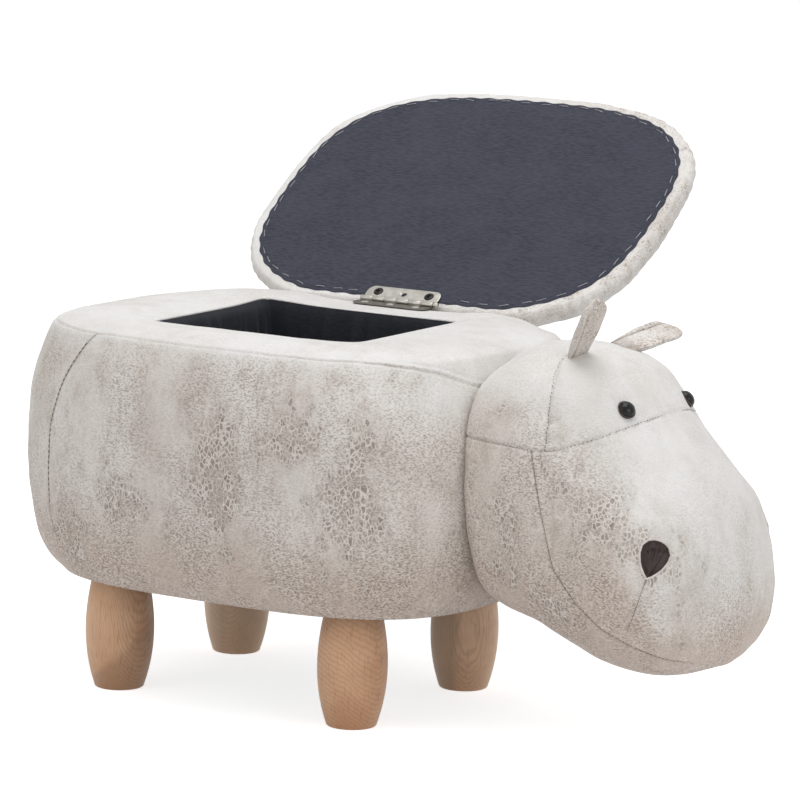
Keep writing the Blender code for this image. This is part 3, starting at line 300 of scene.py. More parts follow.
def floor_finish():
    shader = Shader("floor_finish")
    speckle = shader.noise(shader.place, 60.0, 3.0)
    shader.set(Base_Color=shader.mix(speckle, tone(226, 226, 226), tone(234, 234, 234)), Roughness=0.9,
               Specular_IOR_Level=0.1)
    glow = shader.node("ShaderNodeEmission", {"Color": (1, 1, 1, 1),
                                              "Strength": shader.times(shader.seen_directly(), floor_glow)})
    both = shader.node("ShaderNodeAddShader", {0: shader.surface.outputs[0], 1: glow.outputs[0]})
    shader.feed(shader.tree.nodes["Material Output"].inputs["Surface"], both.outputs[0])
    return shader.material


def add_stage():
    """Floor, white surroundings and soft lamps."""
    bm = bmesh.new()
    bmesh.ops.create_grid(bm, x_segments=24, y_segments=24, size=6.0)
    floor = object_of("floor", bm, smooth=False)
    floor.data.materials.append(floor_finish())
    world = bpy.context.scene.world = bpy.data.worlds.new("white_studio")
    world.use_nodes = True
    nodes = Nodes(world.node_tree)
    level = nodes.node("ShaderNodeMapRange", {"Value": nodes.seen_directly(), "To Min": world_level,
                                              "To Max": 1.0}).outputs[0]
    background = nodes.tree.nodes["Background"]
    nodes.feed(background.inputs["Color"], (1, 1, 1, 1))
    nodes.feed(background.inputs["Strength"], level)
    for lamp in lamps:
        add_lamp(*lamp)


# Numbers and grids of points

def step_up(value, low, high):
    """0 below low, 1 above high and smooth between."""
    share = np.clip((value - low) / (high - low), 0, 1)
    return share * share * (3 - 2 * share)


def bell(value, width, middle=0.0, power=2):
    """1 at the middle, falling off over the width."""
    return np.exp(-np.abs((value - middle) / width) ** power)


def norms(vectors):
    return np.linalg.norm(vectors, axis=-1)


def unit(vectors):
    return vectors / np.maximum(np.linalg.norm(vectors, axis=-1, keepdims=True), 1e-12)


def across_of(way):
    """The way in the plan turned a quarter to the left."""
    return np.array((-way[1], way[0]))


def run_along(points):
    """How far each point lies along its line, or its column."""
    steps = norms(np.diff(points, axis=0))
    return np.concatenate((np.zeros_like(steps[:1]), np.cumsum(steps, axis=0)))


def lifted(plan, height):
    """Points of the plan at a height."""
    return np.concatenate([plan, np.broadcast_to(height, plan.shape[:-1])[..., None]], -1)


def turned(count):
    """Angles of a full turn."""
    return np.linspace(0, full_turn, count, endpoint=False)


def quarter(steps, first=0):
    """Sines and cosines of a quarter turn."""
    return [(math.sin(quarter_turn * step / steps), math.cos(quarter_turn * step / steps))
            for step in range(first, steps + 1)]


def smooth_table(values, position):
    """Values of a table between its entries, on a smooth curve through them."""
    values = np.asarray(values, float)
    last = len(values) - 1
    index = np.minimum(position.astype(int), last - 1)
    share = position - index
    before, start = values[np.maximum(index - 1, 0)], values[index]
    end, after = values[index + 1], values[np.minimum(index + 2, last)]
    return (start * (2 * share ** 3 - 3 * share ** 2 + 1)
            + (end - before) / 2 * (share ** 3 - 2 * share ** 2 + share)
            + end * (3 * share ** 2 - 2 * share ** 3)
            + (after - start) / 2 * (share ** 3 - share ** 2))


def superellipse(half_x, half_y, exponent, angle):
    across, along = np.cos(angle), np.sin(angle)
    return (np.sign(across) * np.abs(across) ** (2 / exponent) * half_x,
            np.sign(along) * np.abs(along) ** (2 / exponent) * half_y)


def even_angles(half_x, half_y, exponent, count, closer=None):
    """Angles at which points of the outline lie equally far apart, or closer together at some X."""
    angle = np.linspace(0, full_turn, 40001)
    x, y = superellipse(half_x, half_y, exponent, angle)
    steps = np.hypot(np.diff(x), np.diff(y))
    if closer:
        steps = steps * closer(x[1:])
    run = np.concatenate(([0], np.cumsum(steps)))
    return np.interp(np.arange(count) / count * run[-1], run, angle)


def grid_normals(points):
    """Outward normals of a grid whose rows go up and whose columns go round to the left."""
    around = np.roll(points, -1, 1) - np.roll(points, 1, 1)
    return unit(np.cross(around, np.gradient(points, axis=0)))


def ripples(points, seed, size, count=24):
    """Smooth seeded waves of about one size, between -1 and 1."""
    maker = np.random.default_rng(seed)
    total = np.zeros(points.shape[:-1])
    for _ in range(count):
        way = maker.normal(size=3)
        way *= full_turn / (size * maker.uniform(0.7, 1.5)) / np.linalg.norm(way)
        total += np.sin(points @ way + maker.uniform(0, full_turn))
    return total / math.sqrt(count / 2) / 1.6


def soften(points, reach):
    """Round the rows' corners: a blur along each column, over a length."""
    steps = norms(np.diff(points, axis=0)).mean(axis=1)
    run = np.concatenate(([0], np.cumsum(steps)))
    weight = bell(run[:, None] - run[None, :], reach) * np.gradient(run)[None, :]
    blurred = np.einsum("ij,jkl->ikl", weight / weight.sum(axis=1, keepdims=True), points)
    keep = np.clip(np.minimum(run, run[-1] - run) / (2.2 * reach), 0, 1)[:, None, None]
    return points * (1 - keep) + blurred * keep


def nearest_on(points, line):
    """Distance of each point to a line of points, how far along the line that is, and its way there."""
    line = np.asarray(line, float)
    best, along, run = np.full(points.shape[:-1], 1e9), np.zeros(points.shape[:-1]), 0.0
    ways = np.zeros(points.shape)
    for start, end in zip(line[:-1], line[1:]):
        length = np.linalg.norm(end - start)
        way = (end - start) / length
        reach = np.clip((points - start) @ way, 0, length)
        distance = norms(points - start - reach[..., None] * way)
        closer = distance < best
        best[closer], along[closer], ways[closer] = distance[closer], (run + reach)[closer], way
        run += length
    return best, along, ways


def quads(points):
    rows, columns = points.shape[:2]
    return [(r * columns + c, r * columns + d, (r + 1) * columns + d, (r + 1) * columns + c)
            for r in range(rows - 1) for c, d in round_of(columns)]


def round_of(count):
    """Each number of a ring with the next."""
    return [(c, (c + 1) % count) for c in range(count)]


def tree_of(points):
    return BVHTree.FromPolygons([tuple(p) for p in points.reshape(-1, 3)], quads(points))


def bridge(bm, rings, close_start=True, close_end=True):
    """Faces between rings of vertices, and over the first and the last."""
    for first, second in zip(rings[:-1], rings[1:]):
        for c, d in round_of(len(first)):
            bm.faces.new((first[c], first[d], second[d], second[c]))
    if close_start:
        bm.faces.new(rings[0][::-1])
    if close_end:
        bm.faces.new(rings[-1])


def ring_of(bm, radius, height, count, place=Matrix()):
    return [bm.verts.new(place @ Vector((radius * math.cos(turn), radius * math.sin(turn), height)))
            for turn in turned(count)]


def mesh_of(name, points, attributes=None, close_start=False, close_end=False):
    """An object from a grid of points, with named values at its points."""
    bm = bmesh.new()
    layers = {key: bm.verts.layers.float.new(key) for key in (attributes or {})}
    rings = []
    for r, row in enumerate(points):
        rings.append([bm.verts.new(point) for point in row])
        for key, layer in layers.items():
            for vert, value in zip(rings[-1], attributes[key][r]):
                vert[layer] = float(value)
    bridge(bm, rings, close_start, close_end)
    bmesh.ops.remove_doubles(bm, verts=bm.verts, dist=1e-6)
    return object_of(name, bm)


def object_of(name, bm, smooth=True):
    mesh = bpy.data.meshes.new(name)
    bm.to_mesh(mesh)
    bm.free()
    if smooth:
        mesh.shade_smooth()
    return add_object(name, mesh)


def finish(piece, material, body, slot=None, *replaced):
    """Give a piece its material, its body and the nodes it stands for; its slot is not used."""
    piece.data.materials.clear()
    piece.data.materials.append(material)
    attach(piece, body)
    if replaced:
        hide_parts(*replaced)


def to_world(points):
    return points + np.array(centre)


# Body

def drawn_in(height):
    """How much smaller the body is at a height than at its widest."""
    up = top_roll_share * (height - widest_height) / (top_seam_height - widest_height)
    down = bottom_roll_share * (widest_height - height) / (widest_height - ground_clearance)
    roll = np.clip(np.where(height > widest_height, up, down), 0, 1)
    return body_half_length * (1 - (1 - roll ** roll_exponent) ** (1 / roll_exponent))


def near_hinge(x, y, half_length):
    return np.where(y > 0, bell(x - hinge_offset_x, half_length, power=pressed_exponent), 0.0)


def top_height(share, x, y):
    crown = crown_height * 4 * share * (1 - share) * (1 - near_hinge(x, y, flat_half_length))
    pressed = pressed_depth * near_hinge(x, y, pressed_half_length)
    pressed = pressed * np.maximum(0.0, 1 - share / pressed_width_share)
    return top_seam_height + opening_edge_rise * share + crown + corner_rise(x, y) * share - pressed


def corner_rise(x, y):
    """How far the opening's edge is pulled up at its rear left corner."""
    return 0.0021 * bell(x, 0.040, -0.100) * bell(y, 0.035, 0.090)


def opening_outline(x, y, grow=0.0):
    """Where the ray through a point of the plan meets the opening's edge, its corners rounded."""
    power = np.where((x > 0) & (y < 0), 9.0, 26.0)
    total = np.abs(x / (edge_half_x + grow)) ** power + np.abs(y / (edge_half_y + grow)) ** power
    return x * total ** (-1 / power), y * total ** (-1 / power)


def body_grid(columns=840, side=120, top=46):
    """Points up the side, over the shoulder and in to the opening, with the row of the top seam."""
    angle = even_angles(body_half_length, body_half_width, plan_exponent, columns,
                        lambda x: 1 + 3 * bell(x, 0.032, -0.130, 4))
    rows = []
    spread = np.linspace(0, 1, side + 1)
    for height in ground_clearance + side_height * (0.35 * spread + 0.65 * (1 - np.cos(math.pi * spread)) / 2):
        inset = drawn_in(np.array(height))
        rise = max(0.0, (height - widest_height) / (top_seam_height - widest_height))
        x, y = superellipse(body_half_length - inset, body_half_width - inset, plan_exponent, angle)
        pressed = pressed_depth * near_hinge(x, y, pressed_half_length) * rise ** 3
        rows.append(np.stack([x, y, height - pressed], -1))
    edge_x, edge_y = opening_outline(x, y, edge_roll)
    for share in np.linspace(0, 1, top + 1)[1:]:
        row_x, row_y = x + (edge_x - x) * share, y + (edge_y - y) * share
        rows.append(np.stack([row_x, row_y, top_height(share, row_x, row_y)], -1))
    return soften(np.array(rows), 0.0045), side


def seam_shape(distance, along, seed, depth, bead=0.0):
    """How far the cover stands out beside a seam: a thin groove, a bead at each side and small puckers."""
    maker = np.random.default_rng(seed)
    waves = sum(np.sin(along * full_turn / size + maker.uniform(0, 6.28)) for size in pucker_lengths)
    groove = -depth * bell(distance, 0.0009) - 0.6 * depth * bell(distance, 0.0060, power=1)
    return groove + bead * bell(np.abs(distance), 0.0012, 0.0019) + 0.00007 * waves * bell(distance, 0.0055)


def leather_values(points, normals, seam, side=0.62):
    """Seam lines, for painted shade along them; where the finish is worn and crackled; how much painted
    shade turns the white to a warm grey, 0 on top, more on the sides and 1 lowest down."""
    worn = np.zeros(points.shape[:-1])
    for x, y, z, wide, tall in worn_patches:
        offset = (points - np.array((x, y, z))) / np.array((wide, 0.040, tall))
        worn = np.maximum(worn, np.exp(-(offset ** 2).sum(-1)))
    stretched = points * np.array((1.0, 1.0, 0.5))
    clouds = ripples(stretched, 5, 0.080) * 0.6 + ripples(stretched, 6, 0.034) * 0.45
    # Painted shade: none on faces turned up, the side share on upright faces, rising to 1 lowest down
    painted_shade = side + (1 - side) * step_up(-points[..., 2], -0.205, -0.105)
    return {"seam": seam, "wear": np.clip(worn * 0.80 + 0.26 * clouds, 0, 1),
            "painted_shade": painted_shade * step_up(-normals[..., 2], -0.80, -0.15)}


def make_body(leather, thread):
    points, seam_row = body_grid()
    normals = grid_normals(points)
    x, y, z = points[..., 0], points[..., 1], points[..., 2]
    climb, rim = run_along(points), points[seam_row]
    along = np.concatenate(([0], np.cumsum(norms(np.roll(rim, -1, 0) - rim))[:-1]))
    below = np.arange(len(points))[:, None] <= seam_row
    line_height = rim[:, 2] - np.interp(rim[:, 0], front_dip_x, front_dip)
    columns = zip(line_height, z[:seam_row + 1].T, climb[:seam_row + 1].T)
    line_climb = np.array([np.interp(height, column, run) for height, column, run in columns])
    slope = np.gradient(line_climb) / np.gradient(along)
    top_distance = (climb - line_climb) / np.sqrt(1 + slope ** 2)
    shape = seam_shape(top_distance, along[None, :] + 0 * climb, 11, 0.0007)
    shape = shape + 0.0005 * bell(top_distance, 0.0011, 0.0018)
    shape = shape - 0.0005 * step_up(x, 0.06, 0.16) * bell(top_distance, 0.0010, 0.0048)
    rise = np.clip((z - widest_height) / (top_seam_height - widest_height), 0, 1)
    line_x = -(rear_seam_share - rear_seam_lean_share * rise ** 2) * np.abs(x).max(axis=1, keepdims=True)
    rear_distance = np.where((x < 0) & below & (top_distance < 0),
                             np.abs(x - line_x) / np.maximum(np.abs(normals[..., 1]), 0.25), 1.0)
    plain = step_up(z, 0.105, 0.190)
    shape = shape + plain * seam_shape(rear_distance, climb, 12, 0.0011, 0.0004)
    # Painted shade in the seams' grooves: the top seam darker towards the front, the rear seams darker higher up
    seam = np.maximum((0.16 + 0.24 * step_up(x, 0.0, 0.12)) * bell(top_distance, 0.0008, -0.0002),
                      (0.25 + 0.45 * plain) * bell(rear_distance, 0.0009))
    inward = climb - climb[seam_row]
    soft = 0.0009 * ripples(points, 3, 0.075) + 0.0004 * ripples(points, 4, 0.030)
    soft = soft * (1 - 0.7 * step_up(inward, -0.006, 0.012))
    slant = x * 0.8 + y * 0.6 + z * 0.9
    tucks = 0.0006 * bell(z, 0.030, ground_clearance) * np.sin(slant * full_turn / 0.017
                                                               + 2.5 * ripples(points, 8, 0.06))
    ends = np.clip(np.minimum(climb, climb[-1:] - climb) / 0.012, 0, 1)
    flat_here = near_hinge(x, y, 0.060) * (~below) * step_up(inward, 0.0, 0.010)
    moved = (shape + soft + tucks) * ends * (1 - flat_here) - 0.0006 * flat_here
    lines = rear_lines(points, normals, line_x, seam_row)
    points = points + normals * moved[..., None]
    under, rolled = tuck_under(points[0]), roll_in(points[-1])
    grid = np.concatenate((under, points, rolled))

    def widened(table, first, last):
        """A table of the points with rows for the edges tucked under and rolled in."""
        return np.concatenate((np.repeat(first, len(under), 0), table, np.repeat(last, len(rolled), 0)))

    values = leather_values(grid, grid_normals(grid), widened(seam, seam[:1], seam[-1:] * 0))
    # Painted light: less painted shade above the top seam, and a pale spot of painted light on the front shoulder
    above = step_up(top_distance, -0.002, 0.006)
    above = widened(above, above[:1] * 0, above[-1:] * 0 + 1)
    shoulder = (grid - np.array((0.203, -0.100, 0.284))) / np.array((0.030, 0.055, 0.026))
    values["painted_shade"] = values["painted_shade"] * (1 - 0.85 * np.exp(-(shoulder ** 2).sum(-1))) * (1 - 0.80 * above)
    body = mesh_of("body_cushion", to_world(grid), values)
    finish(body, leather, "base", "faux_leather", "cover_top", "cover_side_left", "cover_side_right",
           "cover_rear", "padding_top", "padding_front", "padding_rear", "padding_side_left", "padding_side_right")
    make_stitches("rear_seam_thread", lines, thread)
    return points


def rear_lines(points, normals, line_x, seam_row):
    """The two rear seams as lines of places and outward ways."""
    half = points.shape[1] // 2

    def at(row, columns, table):
        return [np.interp(line_x[row, 0], points[row, columns, 0], table[row, columns, k]) for k in range(3)]

    return [np.array([[at(row, columns, table) for table in (points, normals)]
                      for row in range(30, seam_row - 6)])
            for columns in (slice(half, None), slice(half, 0, -1))]


def roll_in(edge):
    """The cover's edge rolled over the opening and down behind the liner."""
    inner = np.stack(opening_outline(edge[:, 0], edge[:, 1]), -1)
    rows = [lifted(edge[:, :2] + (inner - edge[:, :2]) * sine, edge[:, 2] - edge_roll * (1 - cosine))
            for sine, cosine in quarter(5, 1)]
    return np.array(rows + [rows[4] - np.array((0, 0, drop)) for drop in (0.0012, 0.0030)])


def tuck_under(edge):
    """The cover's lower edge folded under the base panel."""
    inward = -unit(edge[:, :2])
    return np.array([lifted(edge[:, :2] + inward * reach, edge[:, 2] + rise) for reach, rise in (
        (0.0075, 0.0012), (0.0060, 0.0006), (0.0040, 0.0000), (0.0022, -0.0002), (0.0009, -0.0001))])


# Head

def head_point(share, angle):
    """Points of the head at shares of its spine and angles round it, from the top to the right."""
    at = (len(spine_reach_shares) - 1) * share
    tilt = smooth_table(head_tilts, at)
    half_height = head_half_height * smooth_table(head_height_shares, at)
    half_width = head_half_width * smooth_table(head_width_shares, at)
    rise, side = superellipse(half_height, half_width, head_exponent, angle)
    return np.stack([head_start + head_reach * smooth_table(spine_reach_shares, at) + rise * np.sin(tilt), -side,
                     head_start_height - head_drop * smooth_table(spine_drop_shares, at)
                     + rise * np.cos(tilt)], -1)


def moulding(share, aside):
    return sum(size * bell(share, along, at) * bell(aside, math.radians(wide), math.radians(round_at))
               for size, at, along, round_at, wide in mouldings)


def head_place(share, angle):
    """Point of the head and its outward normal."""
    def at(s, a):
        return Vector(head_point(np.array(s), np.array(a)))
    along = at(share + 0.01, angle) - at(share - 0.01, angle)
    around = at(share, angle + 0.01) - at(share, angle - 0.01)
    return at(share, angle), around.cross(along).normalized()


def side_view_distance(points, normals, line):
    """Distance over the surface to a seam that is drawn in the side view, and the run along it."""
    distance, along, ways = nearest_on(points[..., (0, 2)], line)
    slope = ways[..., 0] * normals[..., 2] - ways[..., 1] * normals[..., 0]
    return distance / np.sqrt(np.clip(1 - slope ** 2, 0.04, 1)), along


def side_lines(points, line, spacing=0.0012):
    """A seam drawn in the side view, laid on both sides of the head."""
    tree, line = tree_of(points), np.asarray(line, float)
    run = run_along(line)
    spots = np.arange(0, run[-1], spacing)
    lines = []
    for sign in (-1, 1):
        found = []
        for x, z in zip(np.interp(spots, run, line[:, 0]), np.interp(spots, run, line[:, 1])):
            place, facing = tree.ray_cast(Vector((x, sign * 0.3, z)), Vector((0, -sign, 0)))[:2]
            if place is not None and abs(facing.y) > 0.10:
                found.append([tuple(place), tuple(facing if facing.y * sign > 0 else -facing)])
        lines.append(np.array(found))
    return lines


def round_off(points, reach):
    """Close the loft's far end with a dome and blur the loft along its length, over the dome's middle too."""
    turn = np.linspace(0, quarter_turn, dome_rows + 1)[1:, None, None]
    middle = points[-1].mean(0)
    ahead = middle - points[-4].mean(0)
    dome = (middle + (points[-1] - middle) * np.maximum(np.cos(turn), 0.03)
            + 0.0008 * np.sin(turn) * ahead / np.linalg.norm(ahead))
    points = np.concatenate((points, dome))
    count = len(points)
    whole = np.concatenate((points, np.roll(points, points.shape[1] // 2, axis=1)[-2::-1]))
    rounder = step_up(np.arange(count), count - 110, count - 60)[:, None, None]
    return soften(whole, reach)[:count] * (1 - rounder) + soften(whole, reach * 1.6)[:count] * rounder


def head_grid(rows, columns):
    """Points of the head, their shares of the spine and their angles from its top."""
    angle = even_angles(head_half_height, head_half_width, head_exponent, columns)[None, :]
    share = np.linspace(0.0, 1.0, rows) ** 0.92
    points = head_point(share[:, None] + 0 * angle, angle + 0 * share[:, None])
    run = np.concatenate(([0], np.cumsum(norms(np.diff(points, axis=0)).mean(1))))
    share = np.interp(np.linspace(0, run[-1], rows), run, share)[:, None]
    points = round_off(head_point(share + 0 * angle, angle + 0 * share), 0.0090)
    share = np.concatenate((share, np.ones((dome_rows, 1))))
    return points, share, np.abs((angle + 0 * share + math.pi) % full_turn - math.pi)


def make_head(leather, body_points, thread):
    points, share, from_top = head_grid(250, 540)
    normals = grid_normals(points)
    x, y, z = points[..., 0], np.abs(points[..., 1]), points[..., 2]
    distance, shape = np.full(x.shape, 1.0), np.zeros(x.shape)
    for seed, line in ((21, crown_seam), (22, brow_seam), (23, cheek_seam)):
        away, along = side_view_distance(points, normals, line)
        shape = np.minimum(shape, seam_shape(away, along + y, seed, 0.0011))
        shape = shape + 0.0004 * bell(away, 0.0012, 0.0020)
        distance = np.minimum(distance, away)
    away = np.where(y > 0.06, side_view_distance(points, normals, dart_seam)[0], 1.0)
    shape = shape - 0.0007 * bell(away, 0.0010)
    distance = np.minimum(distance, away + 0.0004)
    tree = tree_of(body_points)
    neck = np.array([tree.find_nearest(p)[3] for p in points.reshape(-1, 3).tolist()]).reshape(x.shape)
    soft = 0.0009 * ripples(points, 31, 0.070) + 0.0004 * ripples(points, 32, 0.028)
    soft = soft * (1 - 0.5 * step_up(share, 0.50, 0.75))
    away, along = side_view_distance(points, normals, crown_seam)
    seam_x, seam_z = zip(*crown_seam)
    wrinkles = sum(bell(along + y * 0.4, 0.0022, at) * size for at, size in brow_wrinkles)
    wrinkles = wrinkles * bell(away, 0.014) * (z > 0.25) * (x > np.interp(z, seam_z, seam_x))
    folds = 0.0015 * wrinkles + 0.0018 * bell(nearest_on(points, far_crease)[0], 0.0040)
    pinch = -0.0030 * np.exp(-(neck / 0.0040)) - 0.0022 * np.exp(-(neck / 0.0120))
    moved = shape + soft - folds + pinch + moulding(share, from_top)
    ends = np.clip((len(points) - 1 - np.arange(len(points))) / 8, 0, 1)[:, None]
    moved = moved * ends + 0.0012 * (1 - ends) + 0.0012 * step_up(share, 0.74, 0.92)
    moved = moved - 0.0030 * np.maximum(nostril_inside(points, 1), nostril_inside(points, -1))
    points = points + normals * moved[..., None]
    # Painted shade in the seams' grooves, and a strong painted shadow where the head meets the body
    seam = np.maximum(0.28 * bell(distance, 0.0008), 0.9 * bell(neck, 0.0025))
    # Painted shade, deeper on the head's sides than on the body; less on faces turned forward higher up, as
    # painted light
    values = leather_values(points, normals, seam, 0.80)
    ahead = step_up(normals[..., 0], 0.10, 0.75) * step_up(points[..., 2], 0.085, 0.165)
    values["painted_shade"] = values["painted_shade"] * (1 - 0.72 * ahead)
    head = mesh_of("head_cushion", to_world(points), values, close_end=True)
    finish(head, leather, "base", "faux_leather", "head_cover_crown", "head_cover_forehead", "head_cover_muzzle",
           "head_cover_cheeks", "head_stuffing")
    lines = [line for seam_line in (crown_seam, brow_seam, cheek_seam) for line in side_lines(points, seam_line)]
    make_stitches("head_seam_thread", lines, thread, 0.0034, 0.0021, 0.00024, 0.0001)
    make_stitches("dart_seam_thread", side_lines(points, dart_seam), thread, 0.0022, 0.0021, 0.00026, 0.0002)
    return points


# Nostrils, eyes and ears

def nostril_frame(sign):
    point, facing = head_place(nostril_share, sign * nostril_angle)
    up = (Vector((0, 0, 1)) - facing * facing.z).normalized()
    up = Matrix.Rotation(-sign * nostril_lean, 3, facing) @ up
    return point, facing, up, up.cross(facing)


def nostril_edge(turn):
    """Outline of the drop at angles round its middle, as shares across and up."""
    height = np.linspace(-1, 1, 400)
    width = np.sqrt(np.clip(np.interp(height, nostril_heights, np.square(nostril_widths)), 0, 1))
    angle, reach = np.arctan2(height - nostril_middle, width), np.hypot(width, height - nostril_middle)
    order = np.argsort(angle)
    folded = np.where(np.cos(turn) >= 0, turn, math.pi - turn)
    folded = (folded + math.pi) % full_turn - math.pi
    return np.interp(folded, angle[order], reach[order])


def nostril_inside(points, sign):
    """1 inside the nostril's outline, falling to 0 across its edge."""
    point, facing, up, across = (np.array(way) for way in nostril_frame(sign))
    offset = points - point
    x = offset @ across / nostril_half_width
    y = offset @ up / nostril_half_height - nostril_middle
    reach = np.hypot(x, y) / np.maximum(nostril_edge(np.arctan2(y, x)), 0.05)
    return np.clip((1.02 - reach) / 0.12, 0, 1) * (np.abs(offset @ facing) < 0.03)


def make_nostril(name, sign, satin, leather, head_points):
    """Gathered satin set into the muzzle, and the cover's edge rolled round it."""
    tree = tree_of(head_points)
    point, facing, up, across = nostril_frame(sign)
    rings, steps = 26, 96
    turn = turned(steps)
    edge = nostril_edge(turn)
    edge_x, edge_y = np.cos(turn) * edge, np.sin(turn) * edge

    def on_head(x, y):
        start = point + across * x * nostril_half_width + up * y * nostril_half_height + facing * 0.02
        return tree.ray_cast(start, -facing)[0] or start - facing * 0.02

    grid = np.zeros((rings, steps, 3))
    for ring in range(rings):
        share = (ring + 0.3) / (rings - 0.7)
        base = 0.0004 + 0.001155 * (1 - share ** 6)
        for c in range(steps):
            x, y = edge_x[c] * share, edge_y[c] * share + nostril_middle
            fold = sum(size * math.exp(-((x - tip * (y + 1) / 1.7) / width) ** 2)
                       for tip, size, width in nostril_folds) * (1 - abs(y) * 0.4)
            fold -= 0.0017 * math.exp(-((y - 0.50 - 0.30 * x) / 0.11) ** 2)
            grid[ring, c] = on_head(x, y) + facing * (base + fold * (1 - share ** 4))
    if sign > 0:
        grid = grid[:, ::-1]
    piece = mesh_of("nostril_satin_" + name, to_world(grid), close_start=True)
    finish(piece, satin, "base", "brown_satin", "nostril_" + name)
    lip = [on_head(x, y + nostril_middle) + facing * 0.0003 for x, y in zip(edge_x * 1.03, edge_y * 1.03)]
    add_cord("nostril_lip_" + name, lip, 0.0009, leather)


def add_cord(name, line, radius, material, steps=8):
    """A round cord of the cover along a closed line."""
    rows, side = [], None
    for before, place, after in zip(line[-1:] + line[:-1], line, line[1:] + line[:1]):
        way = (after - before).normalized()
        if side is None:
            side = way.orthogonal().normalized()
        side = (side - way * side.dot(way)).normalized()
        other = way.cross(side)
        rows.append([tuple(place + (side * math.cos(turn) + other * math.sin(turn)) * radius)
                     for turn in turned(steps)])
    grid = np.array(rows + rows[:1])
    zero = np.zeros(grid.shape[:2])
    # The cord takes half the painted shade all along
    piece = mesh_of(name, to_world(grid), {"seam": zero, "wear": zero, "painted_shade": zero + 0.5})
    finish(piece, material, "base", "faux_leather")


def lathe(name, profile, steps, place=Matrix()):
    """A profile of radius and height turned about Z, closed where it meets the axis."""
    radius, height = np.array(profile, float).T[..., None]
    turn = turned(steps)
    piece = mesh_of(name, np.stack([radius * np.cos(turn), radius * np.sin(turn), height + 0 * turn], -1))
    piece.data.transform(place)
    return piece


def make_eyes(black, brown):
    for name, (share, angle) in eyes.items():
        point, facing = head_place(share, angle)
        point = point + facing * moulding(share, abs(angle)) + centre
        place = Matrix.Translation(point) @ facing.to_track_quat("Z", "Y").to_matrix().to_4x4()
        dome = [(0.0, -0.0015), (eye_radius * 0.98, -0.0015), (eye_radius, -0.0002)]
        dome += [(eye_radius * 0.97 * cosine, 0.0006 + 0.0052 * sine) for sine, cosine in quarter(14, 1)]
        finish(lathe("eye_dome_" + name, dome, 56, place), black, "base", "eye_black", "eye_" + name)
        rim = [(eye_radius + 0.0005 * math.cos(turn), 0.0006 + 0.0005 * math.sin(turn))
               for turn in np.linspace(0, full_turn, 13)]
        finish(lathe("eye_rim_" + name, rim, 56, place), brown, "base", "eye_black")


def make_ears(leather):
    along = np.sin(quarter_turn * np.linspace(0, 1, 70))[:, None]
    turn = turned(120)
    width = smooth_table(ear_widths, along * (len(ear_widths) - 1) * 0.985)
    width = width * np.sqrt(np.clip(1 - ((along - 0.74) / 0.26).clip(0, 1) ** 2.2, 0, 1))
    aside = width * np.cos(turn)
    thick = ear_half_thickness * np.sqrt(width) * (1 - 0.15 * along)
    rise = thick * np.sign(np.sin(turn)) * np.abs(np.sin(turn)) ** 0.9
    front = (np.sin(turn) < 0) * step_up(-along, -0.92, -0.80)
    rise = rise + 0.0020 * bell(aside, 0.09, -0.62) * front - ear_cup * aside ** 2
    # Painted shade along the seam on the ear's front and at its root in the head
    seam = 1.25 * bell(aside, 0.050, -0.62) * front + 0.5 * bell(along, 0.20, power=4)
    for name, (share, angle, lean, wide, shift) in ears.items():
        way = Vector(lean).normalized()
        across = (Vector(wide) - way * way.dot(Vector(wide))).normalized()
        root = head_place(share, angle)[0] - way * ear_sunk + across * shift
        face = np.array(way.cross(across))
        points = (np.array(root) + np.array(way) * ((ear_length + ear_sunk) * along)[..., None]
                  + np.array(across) * (ear_half_width * aside)[..., None] + face * rise[..., None])
        points = points + 0.0004 * ripples(points, 41, 0.02)[..., None] * face
        # Painted shade half way between top and side, varied by ripples
        ear = mesh_of("ear_sewn_" + name, to_world(points), {
            "seam": seam, "wear": 0.22 + 0.22 * ripples(points, 42, 0.02),
            "painted_shade": 0.50 + 0.15 * ripples(points, 43, 0.03)}, True, True)
        finish(ear, leather, "base", "faux_leather", "ear_" + name)


# Legs

def make_legs(woods):
    top = ground_clearance - 0.0003
    foot, widest, head = leg_radii
    share = np.linspace(0, 1, 41)
    ends = foot + (head - foot) * share
    radius = ends + (widest - ends) * (1 - (2 * share - 1) ** 2)
    profile = [(0.0, 0.0), (foot * 0.5, 0.0)]
    profile += [(foot - leg_edge_radius * (1 - sine), leg_edge_radius * (1 - cosine))
                for sine, cosine in quarter(4)[:4]]
    profile += list(zip(radius, leg_edge_radius + (top - leg_edge_radius) * share))
    profile += [(head * 0.5, top), (0.0, top)]
    for name, place, wood in zip(leg_names, leg_places, woods):
        leg = lathe("turned_leg_" + name, profile, 72)
        leg.matrix_world = Matrix.Translation((place.x, place.y, 0))
        finish(leg, wood, "base", "leg_wood", "leg_" + name)


# Lid, modelled closed in the hinge's own frame

def lid_outline(inset, height, rear_margin, angle):
    roll = lid_rear_roll - math.sqrt(max(lid_rear_roll ** 2 - height ** 2, 0.0))
    nearest = lid_rear_offset + roll + rear_margin
    x, y = superellipse(lid_half_length - inset, lid_half_width - inset, lid_exponent, angle)
    return np.stack([x + lid_offset_x - hinge_offset_x, -np.maximum(lid_from_axis - y, nearest)], -1)


def lid_world(points):
    matrix = np.array(lid_place)
    return points @ matrix[:3, :3].T + matrix[:3, 3]


